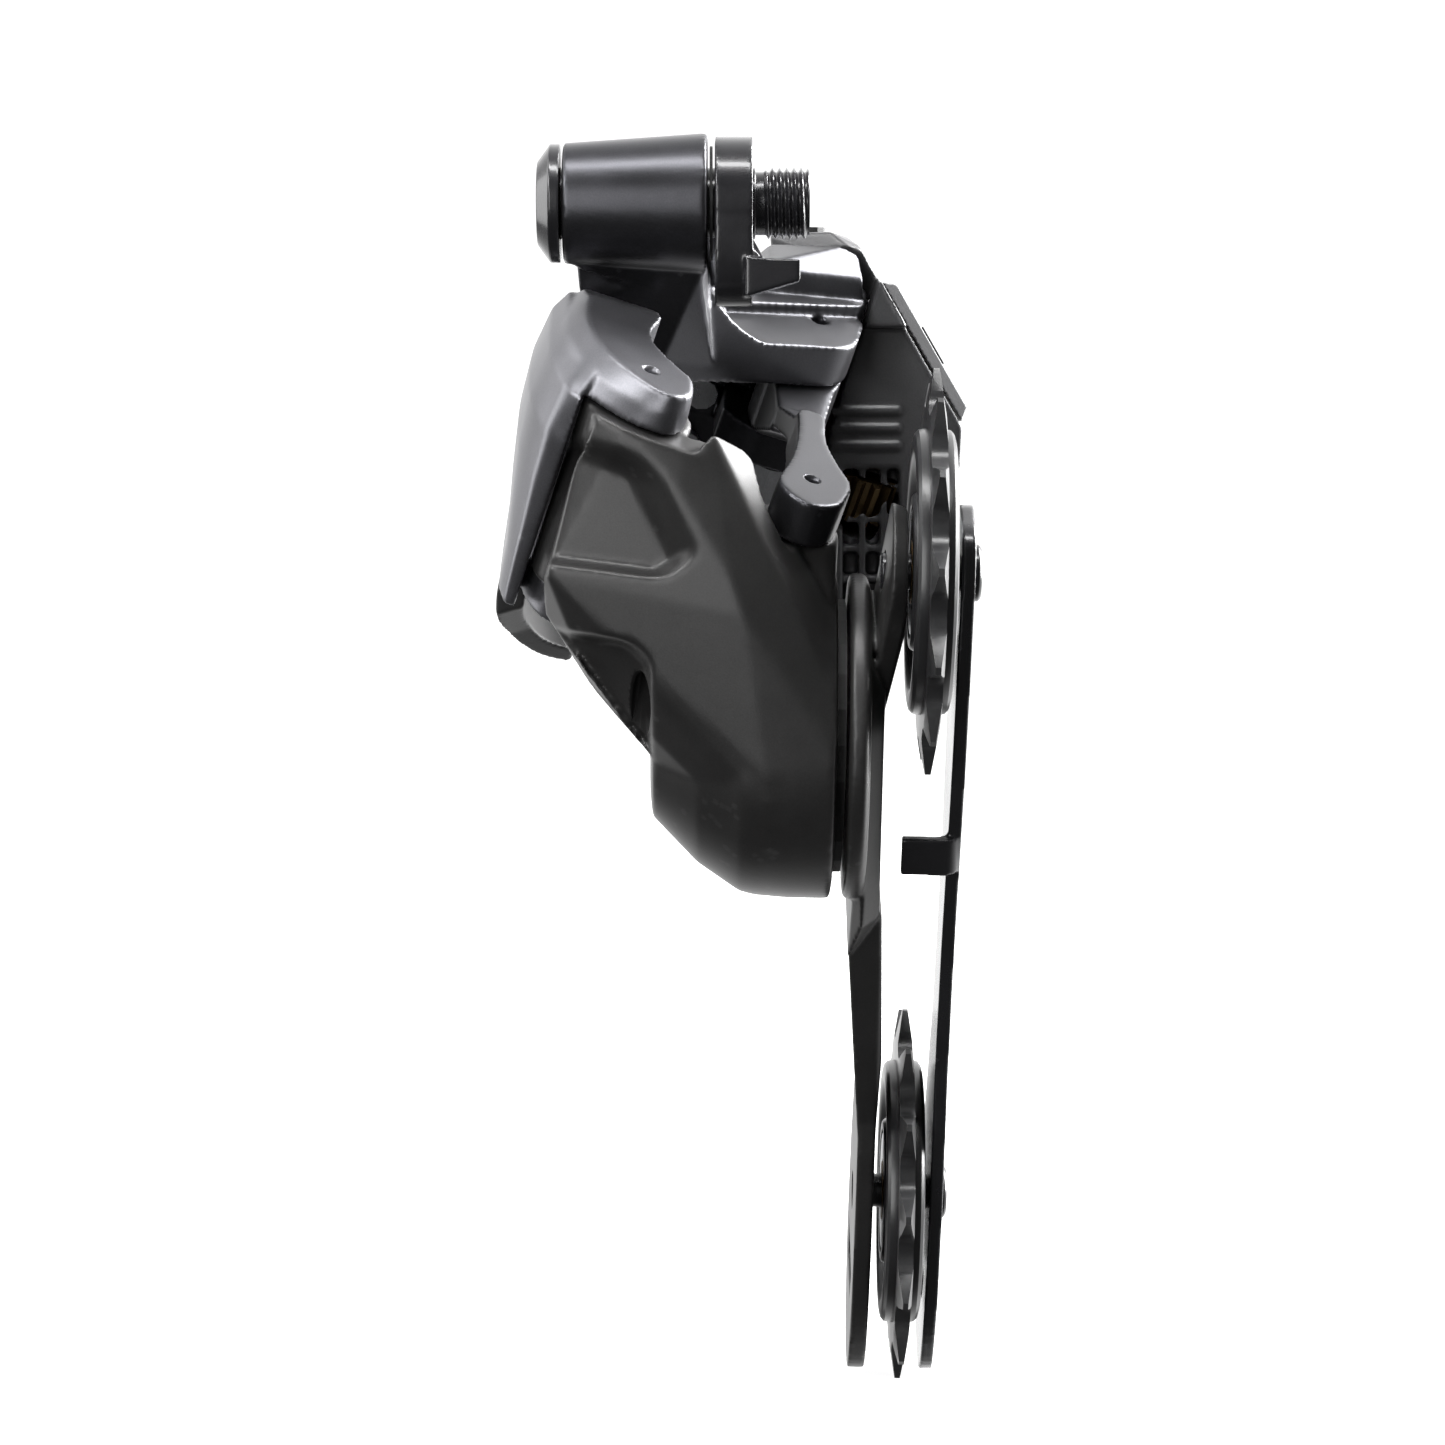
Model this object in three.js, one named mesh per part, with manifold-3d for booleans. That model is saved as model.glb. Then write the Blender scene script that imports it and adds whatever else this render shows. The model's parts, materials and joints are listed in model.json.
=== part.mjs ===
// Rear bicycle derailleur with a battery-powered servo, hung from the frame by an M10 bolt. Millimetres.
// +X points inboard (towards the wheel), +Y to the rear of the bicycle, +Z up.
// The origin is where the bolt's axis crosses the face that seats on the frame's hanger.
import * as THREE from "three";
import { ConvexGeometry } from "three/addons/geometries/ConvexGeometry.js";
import { mergeVertices } from "three/addons/utils/BufferGeometryUtils.js";
import Module from "manifold-3d";

const wasm = await Module();
wasm.setup();

// ---------- driving dimensions ----------
const GAP = 0.3; // between pieces that touch
const ROUND = 24; // facets round a large cylinder
const FINE = 12; // facets round a pin or bush

// Hanger bolt and the bracket's tube, both along X through the origin
const BOLT_R = 4.9;
const THREAD_R = 5; // M10 x 1
const THREAD_PITCH = 1;
const THREAD_TURNS = 6;
const HEAD_R = 8.2;
const TUBE = { outer: -26.2, inner: -6.2, rOuter: 8.3, rInner: 9.7, bore: 6.3 };
const STOP_PLATE = 5.2; // thickness of the plate that seats on the hanger
const SCREW = { x: -2.8, z: -6 }; // tension screw, along Y behind the stop plate's heel

// Linkage: two parallel links whose four pins all lie along PIN_AXIS
const PIN_AXIS = new THREE.Vector3(0.3, -0.4, 0.866).normalize();
const LINK_LENGTH = 54; // rear pin to front pin
const LINK_SPREAD = 25.4; // outboard pins to inboard pins
const LINK_ORIGIN = new THREE.Vector3(-13.6, -22, -23.4); // front outboard pin, at the outer link's top
const PIN_R = 2;
const BUSH_R = 3;

// Cage: turns on the cage axle, which lies along X through AXLE
const AXLE = new THREE.Vector3(0, -4, -73.5);
const CAGE_TILT = THREE.MathUtils.degToRad(26); // the foot of the cage swings to the rear
const CAGE_LEAN = THREE.MathUtils.degToRad(1.16); // and leans a little outboard
const GUIDE_Z = 26; // pulley centres along the cage, from the axle
const TENSION_Z = -78;
const PULLEY_X = 23.7;
const PULLEY_HALF = 2.8; // half its width over the flanges
const PULLEY_TEETH = 13;
const CHAIN_PITCH = 12.7;
const DRUM_R = 22.6; // knuckle drum and cage disc

// ---------- colours ----------
const paint = (color, roughness, metalness) =>
  new THREE.MeshStandardMaterial({ color, roughness, metalness });
const satinGrey = paint(0x56565a, 0.42, 0.85);
const glossBlack = paint(0x101013, 0.22, 0.6);
const castBlack = paint(0x2a2a2d, 0.45, 0.6);
const mattBlack = paint(0x1b1b1c, 0.62, 0.05);
const caseGrey = paint(0x8c8b89, 0.5, 0.3);
const darkResin = paint(0x121214, 0.5, 0);
const steel = paint(0x8d9094, 0.3, 1);
const brass = paint(0x9a7b3c, 0.35, 1);
const seal = paint(0x0a0a0a, 0.8, 0);

// ---------- solids ----------
// A closed three.js geometry as a manifold solid, faces out.
function solid(geometry) {
  const plain = geometry.clone();
  for (const name of Object.keys(plain.attributes))
    if (name !== "position") plain.deleteAttribute(name);
  const merged = mergeVertices(plain, 1e-4);
  const index = [];
  for (let i = 0; i < merged.index.count; i += 3) {
    const [a, b, c] = [0, 1, 2].map((k) => merged.index.getX(i + k));
    if (a !== b && b !== c && a !== c) index.push(a, b, c);
  }
  const build = (triangles) =>
    new wasm.Manifold(
      new wasm.Mesh({
        numProp: 3,
        vertProperties: new Float32Array(merged.attributes.position.array),
        triVerts: new Uint32Array(triangles),
      }),
    );
  const made = build(index);
  if (made.volume() >= 0) return made;
  const turned = [];
  for (let i = 0; i < index.length; i += 3)
    turned.push(index[i], index[i + 2], index[i + 1]);
  return build(turned);
}

const join = (...solids) => solids.reduce((a, b) => a.add(b));
const cut = (body, ...tools) => tools.reduce((a, b) => a.subtract(b), body);

function geometryOf(made) {
  const mesh = made.getMesh();
  const geometry = new THREE.BufferGeometry();
  geometry.setAttribute(
    "position",
    new THREE.BufferAttribute(new Float32Array(mesh.vertProperties), 3),
  );
  geometry.setIndex(
    new THREE.BufferAttribute(new Uint32Array(mesh.triVerts), 1),
  );
  const flat = geometry.toNonIndexed();
  flat.computeVertexNormals();
  return flat;
}

// ---------- shapes, each as a geometry ----------
function blockShape([x0, x1], [y0, y1], [z0, z1]) {
  return new THREE.BoxGeometry(x1 - x0, y1 - y0, z1 - z0).translate(
    (x0 + x1) / 2,
    (y0 + y1) / 2,
    (z0 + z1) / 2,
  );
}
// Turned about the X axis through (y, z): profile points are [x, radius].
function turnedX(profile, y = 0, z = 0, facets = ROUND) {
  const points = profile.map(([x, r]) => new THREE.Vector2(r, x));
  return new THREE.LatheGeometry(points, facets)
    .rotateZ(-Math.PI / 2)
    .translate(0, y, z);
}
const rodX = (r, x0, x1, y = 0, z = 0, facets = FINE) =>
  turnedX(
    [
      [x0, 0],
      [x0, r],
      [x1, r],
      [x1, 0],
    ],
    y,
    z,
    facets,
  );
const ringX = (rIn, rOut, x0, x1, y = 0, z = 0, facets = FINE) =>
  turnedX(
    [
      [x0, rIn],
      [x0, rOut],
      [x1, rOut],
      [x1, rIn],
      [x0, rIn],
    ],
    y,
    z,
    facets,
  );
// The same two along Z, through (x, y).
const rodZ = (r, z0, z1, x = 0, y = 0, facets = FINE) =>
  new THREE.CylinderGeometry(r, r, z1 - z0, facets)
    .rotateX(Math.PI / 2)
    .translate(x, y, (z0 + z1) / 2);
function ringZ(rIn, rOut, z0, z1, x = 0, y = 0, facets = FINE) {
  return ringX(rIn, rOut, -z1, -z0, 0, 0, facets)
    .rotateY(Math.PI / 2)
    .translate(x, y, 0);
}
const alongY = (r, y0, y1, x, z) =>
  new THREE.CylinderGeometry(r, r, y1 - y0, 10).translate(x, (y0 + y1) / 2, z);
function shapeOf(outline, holes = []) {
  const shape = new THREE.Shape(outline.map(([a, b]) => new THREE.Vector2(a, b)));
  for (const [a, b, r] of holes)
    shape.holes.push(new THREE.Path().absarc(a, b, r, 0, 2 * Math.PI));
  return shape;
}
// An outline in the XY plane, between two heights.
function plateZ(outline, [z0, z1], holes = [], curveSegments = 8, steps = 1) {
  return new THREE.ExtrudeGeometry(shapeOf(outline, holes), {
    depth: z1 - z0,
    bevelEnabled: false,
    curveSegments,
    steps,
  }).translate(0, 0, z0);
}
// An outline of [y, z] points, between two places along X.
function plateX(outline, [x0, x1], holes = [], curveSegments = 8) {
  return new THREE.ExtrudeGeometry(shapeOf(outline, holes), {
    depth: x1 - x0,
    bevelEnabled: false,
    curveSegments,
  })
    .applyMatrix4(new THREE.Matrix4().set(0, 0, 1, 0, 1, 0, 0, 0, 0, 1, 0, 0, 0, 0, 0, 1))
    .translate(x0, 0, 0);
}
// An outline of [x, z] points, between two places along Y.
function plateY(outline, [y0, y1]) {
  return new THREE.ExtrudeGeometry(shapeOf(outline), {
    depth: y1 - y0,
    bevelEnabled: false,
  })
    .applyMatrix4(new THREE.Matrix4().set(1, 0, 0, 0, 0, 0, -1, 0, 0, 1, 0, 0, 0, 0, 0, 1))
    .translate(0, y1, 0);
}
// A sector of a ring about Z, between two angles.
function wedge(from, to, rIn, rOut, z0, z1, [x, y]) {
  const steps = 6;
  const angles = Array.from({ length: steps + 1 }, (_, i) => from + ((to - from) * i) / steps);
  const outline = [...angles.map((t) => [rOut, t]), ...angles.reverse().map((t) => [rIn, t])];
  return plateZ(outline.map(([r, t]) => [x + r * Math.cos(t), y + r * Math.sin(t)]), [z0, z1]);
}
const hullOf = (points) =>
  new ConvexGeometry(points.map((p) => (p.isVector3 ? p : new THREE.Vector3(...p))));
const circle = (n, at) =>
  Array.from({ length: n }, (_, i) => at((2 * Math.PI * i) / n));

// A round-cornered outline: each corner is [x, y, radius].
function rounded(corners, steps = 3) {
  const points = [];
  corners.forEach(([x, y, r = 0], i) => {
    const here = new THREE.Vector2(x, y);
    const before = corners[(i + corners.length - 1) % corners.length];
    const after = corners[(i + 1) % corners.length];
    const back = new THREE.Vector2(before[0] - x, before[1] - y);
    const on = new THREE.Vector2(after[0] - x, after[1] - y);
    const reach = Math.min(r, back.length() / 2, on.length() / 2);
    if (reach < 0.05) {
      points.push([x, y]);
      return;
    }
    const start = here.clone().addScaledVector(back.normalize(), reach);
    const end = here.clone().addScaledVector(on.normalize(), reach);
    const bend = new THREE.QuadraticBezierCurve(start, here, end);
    for (const p of bend.getPoints(steps)) points.push([p.x, p.y]);
  });
  return points;
}

// ---------- the linkage's own frame ----------
// x runs across to the inboard link, y to the rear pins, and z up the pins.
const forward = new THREE.Vector3(-0.033, -0.912, -0.41);
forward.addScaledVector(PIN_AXIS, -forward.dot(PIN_AXIS)).normalize();
const across = new THREE.Vector3().crossVectors(PIN_AXIS, forward);
const linkMatrix = new THREE.Matrix4()
  .makeBasis(across, forward.clone().negate(), PIN_AXIS)
  .setPosition(LINK_ORIGIN);
const inLink = (geometry) => geometry.applyMatrix4(linkMatrix);
const linkPoint = (x, y, z) => new THREE.Vector3(x, y, z).applyMatrix4(linkMatrix);
const PINS = {
  outer_front: [0, 0],
  outer_rear: [0, LINK_LENGTH],
  inner_front: [LINK_SPREAD, 0],
  inner_rear: [LINK_SPREAD, LINK_LENGTH],
};
const BRACKET_REAR = 67.3; // flat rear face, where the servo case bolts on
const CASE_SCREWS = [-18, -27, -36]; // their heights along the pins
// Heights along the pins, measured down from the top of the outer link's ear
const Z = {
  earBottom: -5.6,
  bracketTop: -7.5,
  bracketBottom: -14,
  rearTop: -14.4, // top of both links under the bracket
  innerEarTop: -8.5,
  innerEarBottom: -15,
  innerRearBottom: -24.4,
  innerLowerTop: -24.8, // bracket's lower inboard ear
  innerLowerBottom: -30.5,
  knuckleTop: -6,
  knuckleBottom: -32.6,
  lugTop: -15.4, // knuckle's inboard lug
  lugBottom: -26,
  linkBottomTop: -33,
  linkBottom: -38,
  outerLowerTop: -38.4, // bracket's lower outboard ear
  outerLowerBottom: -43,
};

// ---------- assembly ----------
const derailleur = new THREE.Group();
const linkage = new THREE.Group();
linkMatrix.decompose(linkage.position, linkage.quaternion, linkage.scale);
// The cage axle's own frame has x along the axle; the cage turns about that.
const axleFrame = new THREE.Group();
axleFrame.position.copy(AXLE);
axleFrame.rotation.y = CAGE_LEAN;
axleFrame.updateMatrix();
const onAxle = (geometry) => geometry.applyMatrix4(axleFrame.matrix);
const cage = new THREE.Group();
cage.rotation.x = CAGE_TILT;
axleFrame.add(cage);
derailleur.add(linkage, axleFrame);

function add(name, material, shape, group = derailleur) {
  const geometry = shape.isBufferGeometry ? geometryOf(solid(shape)) : geometryOf(shape);
  const mesh = new THREE.Mesh(geometry, material);
  mesh.name = name;
  group.add(mesh);
}

// ---------- hanger bolt, stop plate and seals ----------
function addHangerBolt() {
  const profile = [
    [-29.8, 0],
    [-29.8, 5.9],
    [-28, HEAD_R],
    [-26.6, HEAD_R],
    [-26.6, BOLT_R],
    [0.4, BOLT_R],
    [0.4, 4.3],
    [1.6, 4.3],
  ];
  for (let turn = 0; turn < THREAD_TURNS; turn++) {
    profile.push([1.7 + turn * THREAD_PITCH, 4.4]);
    profile.push([2.2 + turn * THREAD_PITCH, THREAD_R]);
  }
  profile.push([7.9, 4.3], [7.9, 0]);
  const HEX_AF = 5; // key size
  const socket = rodX(HEX_AF / Math.sqrt(3), -31, -25, 0, 0, 6);
  add("hanger_bolt", glossBlack, cut(solid(turnedX(profile)), solid(socket)));
}
addHangerBolt();

function addStopPlate() {
  const ring = solid(rodX(9.2, -STOP_PLATE, 0, 0, 0, ROUND));
  const tail = solid(
    plateX(
      rounded([
        [-9, 0],
        [-9, -11, 3],
        [-6, -14.4, 2],
        [-1.5, -14.4, 2],
        [0.5, -9],
        [4, 0],
      ]),
      [-STOP_PLATE, 0],
    ),
  );
  const tab = solid(
    hullOf([
      [-1, -9, -7.6],
      [-1, -3.5, -7.6],
      [6.8, -9, -8],
      [6.8, -3.5, -8],
      [6.8, -9, -11.2],
      [6.8, -3.5, -11.2],
      [-1, -9, -13.2],
      [-1, -3.5, -13.2],
    ]),
  );
  const heel = solid(blockShape([-STOP_PLATE, -0.6], [2, 9.6], [-9, -3])); // the tension screw bears on it
  const bore = solid(rodX(BOLT_R + GAP, -9, 3, 0, 0, ROUND));
  add("stop_plate", glossBlack, cut(join(ring, tail, tab, heel), bore));
}
addStopPlate();

add("bracket_seal", seal, ringX(5.3, 7.9, -5.9, -5.5, 0, 0, ROUND));
add("bolt_bushing_outer", brass, ringX(5.1, 6.05, -25.9, -19, 0, 0, ROUND));
add("bolt_bushing_inner", brass, ringX(5.1, 6.05, -13.5, -6.4, 0, 0, ROUND));

// ---------- bracket body ----------
function bracketPlateOutline() {
  return rounded([
    [-7.4, 33, 3],
    [3, 28.5, 3],
    [13, 36, 3],
    [31, 47, 3],
    [32.6, 60, 4],
    [20, 67.5, 3],
    [6, 67.5, 4],
    [-7.4, 60, 4],
  ]);
}
function addBracketBody() {
  const tube = solid(
    turnedX([
      [TUBE.outer, 0],
      [TUBE.outer, TUBE.rOuter - 0.4],
      [TUBE.outer + 0.5, TUBE.rOuter],
      [TUBE.inner, TUBE.rInner],
      [TUBE.inner, 0],
    ]),
  );
  const plate = solid(inLink(plateZ(bracketPlateOutline(), [Z.bracketBottom, Z.bracketTop])));
  const underTube = [];
  for (const [x, r] of [
    [-24.5, 8.2],
    [-7, 9.5],
  ])
    for (const degrees of [20, -10, -40, -75, -102])
      underTube.push(
        new THREE.Vector3(
          x,
          r * Math.cos(THREE.MathUtils.degToRad(degrees)),
          r * Math.sin(THREE.MathUtils.degToRad(degrees)),
        ),
      );
  const neck = solid(
    hullOf([
      ...underTube,
      linkPoint(-7, 34, Z.bracketBottom),
      linkPoint(-7, 56, Z.bracketBottom),
      linkPoint(3, 29.5, Z.bracketBottom),
      linkPoint(12, 36, Z.bracketBottom),
      linkPoint(14, 56, Z.bracketBottom),
      linkPoint(-6, 58, Z.bracketTop),
      linkPoint(12, 58, Z.bracketTop),
    ]),
  );
  // A ridged shoulder that carries the inboard ear and the battery case
  const shoulder = solid(
    hullOf([
      linkPoint(13, 45, Z.bracketBottom),
      linkPoint(32, 58, Z.bracketBottom),
      linkPoint(32, 58, Z.bracketTop + 0.2),
      linkPoint(13, 62, Z.bracketTop + 0.2),
      [3, 27, -7],
      [15, 34, -7.5],
      [3, 42, -3.5],
      [15.5, 42, -4],
    ]),
  );
  const ridge = solid(
    hullOf([
      [5, 33, -8], [15.8, 33, -8.5], [15.8, 38, -3], [5, 38, -2.5],
      [5, 44, -3.5], [15.8, 44, -4], [5, 44, -9], [15.8, 44, -9],
    ]),
  );
  // Rear web with the two lower ears
  const web = solid(inLink(blockShape([7, 20], [62.3, 67.3], [Z.outerLowerBottom, Z.bracketTop])));
  const lowerOuter = solid(
    inLink(
      plateZ(
        rounded([
          [-6.6, 48, 5],
          [6.6, 48, 4],
          [20, 62.4],
          [20, 67.2],
          [4, 67.2, 3],
          [-6.6, 58, 4],
        ]),
        [Z.outerLowerBottom, Z.outerLowerTop],
      ),
    ),
  );
  const lowerInner = solid(
    inLink(
      plateZ(
        rounded([
          [19.5, 48.5, 4],
          [31.3, 48.5, 4],
          [31.3, 59, 4],
          [20, 67.2],
          [8, 67.2],
          [8, 62.4],
        ]),
        [Z.innerLowerBottom, Z.innerLowerTop],
      ),
    ),
  );
  // Boss of the tension screw, on the tube's rear
  const screwBoss = solid(
    hullOf([
      ...circle(10, (t) => [SCREW.x + 3.5 * Math.cos(t), 21, SCREW.z + 3.5 * Math.sin(t)]),
      ...circle(10, (t) => [SCREW.x + 3.5 * Math.cos(t), 13, SCREW.z + 3.5 * Math.sin(t)]),
      [-12, 8, -2], [-12, 8, -14], [-12, 18, -18], [-12, 4, 0],
    ]),
  );
  const stopPlateRoom = solid(rodX(15.9, TUBE.inner, 5, 0, 0, ROUND)); // its tail swings as the bracket turns
  const bore = solid(rodX(TUBE.bore, -32, 3, 0, 0, ROUND));
  const screwBore = solid(
    new THREE.CylinderGeometry(2.2, 2.2, 40, FINE).translate(SCREW.x, 10, SCREW.z),
  );
  const drill = (where, low, high, r = BUSH_R + 0.1) =>
    solid(inLink(rodZ(r, low, high, ...PINS[where])));
  const body = join(tube, plate, neck, shoulder, ridge, web, lowerOuter, lowerInner, screwBoss);
  return cut(
    body,
    stopPlateRoom,
    bore,
    screwBore,
    solid(new THREE.CylinderGeometry(3.3, 3.3, 12, FINE).translate(SCREW.x, 27.6, SCREW.z)),
    drill("outer_rear", -60, Z.bracketTop - 1.6),
    drill("inner_rear", -60, Z.bracketTop - 1.6),
    drill("outer_rear", -60, 9, 1.2),
    drill("inner_rear", -60, 9, 1.2),
    solid(inLink(blockShape([-8, 16], [28, 62], [Z.linkBottom - 0.3, Z.bracketBottom - 0.01]))),
    solid(inLink(blockShape([-60, 60], [BRACKET_REAR, 120], [-90, 40]))),
    solid(inLink(wedge(1.1 * Math.PI, 1.72 * Math.PI, 28.7, 60, Z.rearTop - 1, 0.6, PINS.outer_rear))),
    ...CASE_SCREWS.map((z) => solid(inLink(alongY(1.8, 60, 70, 13, z)))),
    ...CASE_SCREWS.map((z) => solid(inLink(alongY(2.9, 56, 62.3, 13, z)))),
  );
}
add("bracket_body", satinGrey, addBracketBody());

// Tension screw: turns in the bracket and bears on the stop plate's heel
add(
  "tension_screw",
  steel,
  join(
    solid(new THREE.CylinderGeometry(1.9, 1.9, 13, FINE).translate(SCREW.x, 16.4, SCREW.z)),
    solid(new THREE.CylinderGeometry(2.9, 2.9, 2.2, FINE).translate(SCREW.x, 23, SCREW.z)),
  ),
);

// ---------- outer link ----------
const SKID_FLANGE = -41; // underside of the skid plate's flange
const SKID_SCREW_X = -1.6;
const SKID_SCREWS = [18, 35];
const SKID_BORE_R = 1.6;
// The wall leans in towards its foot, and its curve carries on into the skid plate.
function bowed(geometry) {
  const FULL = -14; // height of the widest place
  const at = geometry.attributes.position;
  for (let i = 0; i < at.count; i++) {
    const below = Math.min(0, at.getZ(i) - FULL) / (Z.linkBottom - FULL);
    at.setX(i, at.getX(i) + 2.8 * below * below * THREE.MathUtils.smoothstep(-at.getX(i), 8.4, 12));
  }
  return geometry;
}
function addOuterLink() {
  const ear = rounded([
    [-8.4, 23.6, 2],
    [-9.6, 18, 3],
    [-9.6, 11.3, 4],
    [-6.4, 1, 4],
    [-2.4, -4.8, 3],
    [5.9, -5.4, 3],
    [6.3, 0.5, 2],
    [1.6, 3, 3],
    [-2.2, 12, 4],
    [-1.5, 18.5, 3],
    [1, 21, 1],
    [0.4, 23.4, 0.8],
  ]);
  const wall = rounded([
    [-7.9, -3.8, 0.6],
    [-9.6, -3.4, 2],
    [-12.6, 6, 6],
    [-13.8, 24, 8],
    [-13, 42, 8],
    [-8, 58, 5],
    [-7.2, 50, 3],
    [-9.4, 40, 6],
    [-9.8, 24, 8],
    [-8.6, 7, 4],
  ]);
  const rearBoss = rounded([
    [-9, 44, 2],
    [4, 46.6, 4],
    [7.2, 52, 4],
    [4.6, 61, 5],
    [-5, 61.4, 5],
    [-9, 57, 3],
  ]);
  const lowerEar = rounded([
    [-9.6, 10, 2],
    [-6.4, -2, 3],
    [-3, -6, 4],
    [5.5, -5, 4],
    [5.5, 4, 4],
    [-1, 8, 3],
    [1.4, 14, 3],
    [1.4, 39, 3],
    [-9.8, 39, 1],
  ]);
  const frontWall = cut(
    solid(bowed(plateZ(wall, [Z.linkBottom, 0], [], 8, 5))),
    solid(blockShape([-20, 10], [24, 70], [Z.rearTop, 10])),
  );
  const body = join(
    solid(plateZ(ear, [Z.earBottom, 0])),
    frontWall,
    solid(plateZ(rearBoss, [Z.linkBottom, Z.rearTop])),
    solid(plateZ(lowerEar, [Z.linkBottom, Z.linkBottomTop])),
  );
  const bevel = solid(
    hullOf([
      [-20, -20, 3],
      [-20, 80, 3],
      [-9.3, -20, 3],
      [-9.3, 80, 3],
      [-20, -20, -12],
      [-20, 80, -12],
    ]),
  );
  const tubeRoom = solid(
    hullOf([
      [-20, 17, 0.01],
      [6, 17, 0.01],
      [-20, 26, -5],
      [6, 26, -5],
      [-20, 26, 4],
      [6, 26, 4],
      [-20, 17, 4],
      [6, 17, 4],
    ]),
  );
  return cut(
    body,
    bevel,
    tubeRoom,
    solid(rodZ(BUSH_R + 0.1, -60, -1.6, ...PINS.outer_front)),
    solid(rodZ(1.2, -60, 9, ...PINS.outer_front)),
    solid(rodZ(BUSH_R + 0.1, -60, 9, ...PINS.outer_rear)),
    ...SKID_SCREWS.map((y) => solid(rodZ(SKID_BORE_R, -60, Z.linkBottomTop - GAP, SKID_SCREW_X, y, 10))),
  );
}
add("outer_link", satinGrey, addOuterLink(), linkage);

// Skid plate: a resin guard that carries the outer link's curve down and under
function addSkidPlate() {
  const section = [
    [-10.4, Z.linkBottom - GAP],
    [-10.2, -43],
    [-8.6, -48.4],
    [-5.4, -53],
    [-0.6, -56.2],
    [4, -56.6],
    [3.6, -53.6],
    [-0.4, -52.8],
    [-3.6, -50],
    [-5.6, -46],
    [-6.4, Z.linkBottom - GAP],
  ];
  const flange = blockShape([-8, 1], [12, 41], [SKID_FLANGE, Z.linkBottom - GAP]);
  const shell = join(solid(plateY(section, [8, 42])), solid(flange));
  const noseCut = solid(
    hullOf([
      [6, 4, -60], [6, 24, -60], [6, 4, -38], [6, 14, -42],
      [-16, 4, -60], [-16, 16, -60], [-16, 4, -46],
    ]),
  );
  const screwBores = SKID_SCREWS.map((y) =>
    solid(rodZ(SKID_BORE_R, SKID_FLANGE - 4, Z.linkBottom + 8, SKID_SCREW_X, y)),
  );
  return cut(shell, noseCut, ...screwBores);
}
add("skid_plate", mattBlack, addSkidPlate(), linkage);
SKID_SCREWS.forEach((y, i) =>
  add(
    "skid_screw_" + (i + 1),
    steel,
    join(
      solid(rodZ(1.3, SKID_FLANGE - 1, Z.linkBottomTop - 0.6, SKID_SCREW_X, y, 10)),
      solid(rodZ(2.4, SKID_FLANGE - 2, SKID_FLANGE - GAP, SKID_SCREW_X, y, 10)),
    ),
    linkage,
  ),
);

// ---------- inner link ----------
function addInnerLink() {
  const front = rounded([
    [22, -6.5, 3],
    [25.4, -8.6, 2],
    [29.6, -6, 3],
    [31.4, 2, 3],
    [28.8, 8, 3],
    [27, 15, 4],
    [27.2, 23, 3],
    [23, 23, 2],
    [23.2, 14, 4],
    [22.6, 6, 4],
    [20.4, -3, 3],
  ]);
  const arm = solid(
    hullOf([
      [23, 20, Z.innerEarTop - 0.4],
      [27.2, 20, Z.innerEarTop - 0.4],
      [23, 20, Z.innerEarBottom + 2],
      [27.2, 20, Z.innerEarBottom + 2],
      [21.6, 35, Z.rearTop],
      [28.8, 35, Z.rearTop],
      [21.6, 37, Z.rearTop - 4],
      [28.8, 37, Z.rearTop - 4],
    ]),
  );
  const boss = solid(
    plateZ(
      rounded([
        [20.6, 46, 2],
        [30.2, 46, 2],
        [31.8, 54, 5],
        [28, 60.4, 4],
        [22.5, 60.4, 4],
        [19, 54, 5],
      ]),
      [Z.innerRearBottom, Z.rearTop],
    ),
  );
  const heel = solid(
    hullOf([
      ...[Z.rearTop, Z.rearTop - 4].flatMap((z) => [
        [21.6, 34.4, z],
        [28.8, 34.4, z],
      ]),
      ...[Z.rearTop, Z.innerRearBottom].flatMap((z) => [
        [20.6, 47, z],
        [30.2, 47, z],
      ]),
    ]),
  );
  return cut(
    join(solid(plateZ(front, [Z.innerEarBottom, Z.innerEarTop])), arm, heel, boss),
    solid(rodZ(BUSH_R + 0.1, -60, Z.innerEarTop - 1.6, ...PINS.inner_front)),
    solid(rodZ(1.2, -60, 9, ...PINS.inner_front)),
    solid(rodZ(BUSH_R + 0.1, -60, 0, ...PINS.inner_rear)),
  );
}
add("inner_link", satinGrey, addInnerLink(), linkage);

// ---------- pins, and the bushes they turn in ----------
const pinSpans = {
  outer_front: [Z.linkBottom + 0.2, -1.8],
  outer_rear: [Z.outerLowerBottom + 0.2, Z.bracketTop - 1.8],
  inner_front: [Z.lugBottom + 0.6, Z.innerEarTop - 1.8],
  inner_rear: [Z.innerLowerBottom + 0.2, Z.bracketTop - 1.8],
};
const bushSpans = {
  outer_front: [Z.knuckleBottom + 0.3, Z.knuckleTop - 0.3],
  outer_rear: [Z.linkBottom + 0.3, Z.rearTop - 0.3],
  inner_front: [Z.lugBottom + 0.8, Z.lugTop - 0.3],
  inner_rear: [Z.innerRearBottom + 0.3, Z.rearTop - 0.3],
};
const PIN_SLACK = 0.15; // round a pin in its bush, and round the bush in its bore
for (const [name, at] of Object.entries(PINS)) {
  const bush = ringZ(PIN_R + PIN_SLACK, BUSH_R - PIN_SLACK, ...bushSpans[name], ...at);
  add("link_pin_" + name, steel, rodZ(PIN_R, ...pinSpans[name], ...at), linkage);
  add("pin_bush_" + name, brass, bush, linkage);
}

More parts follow.
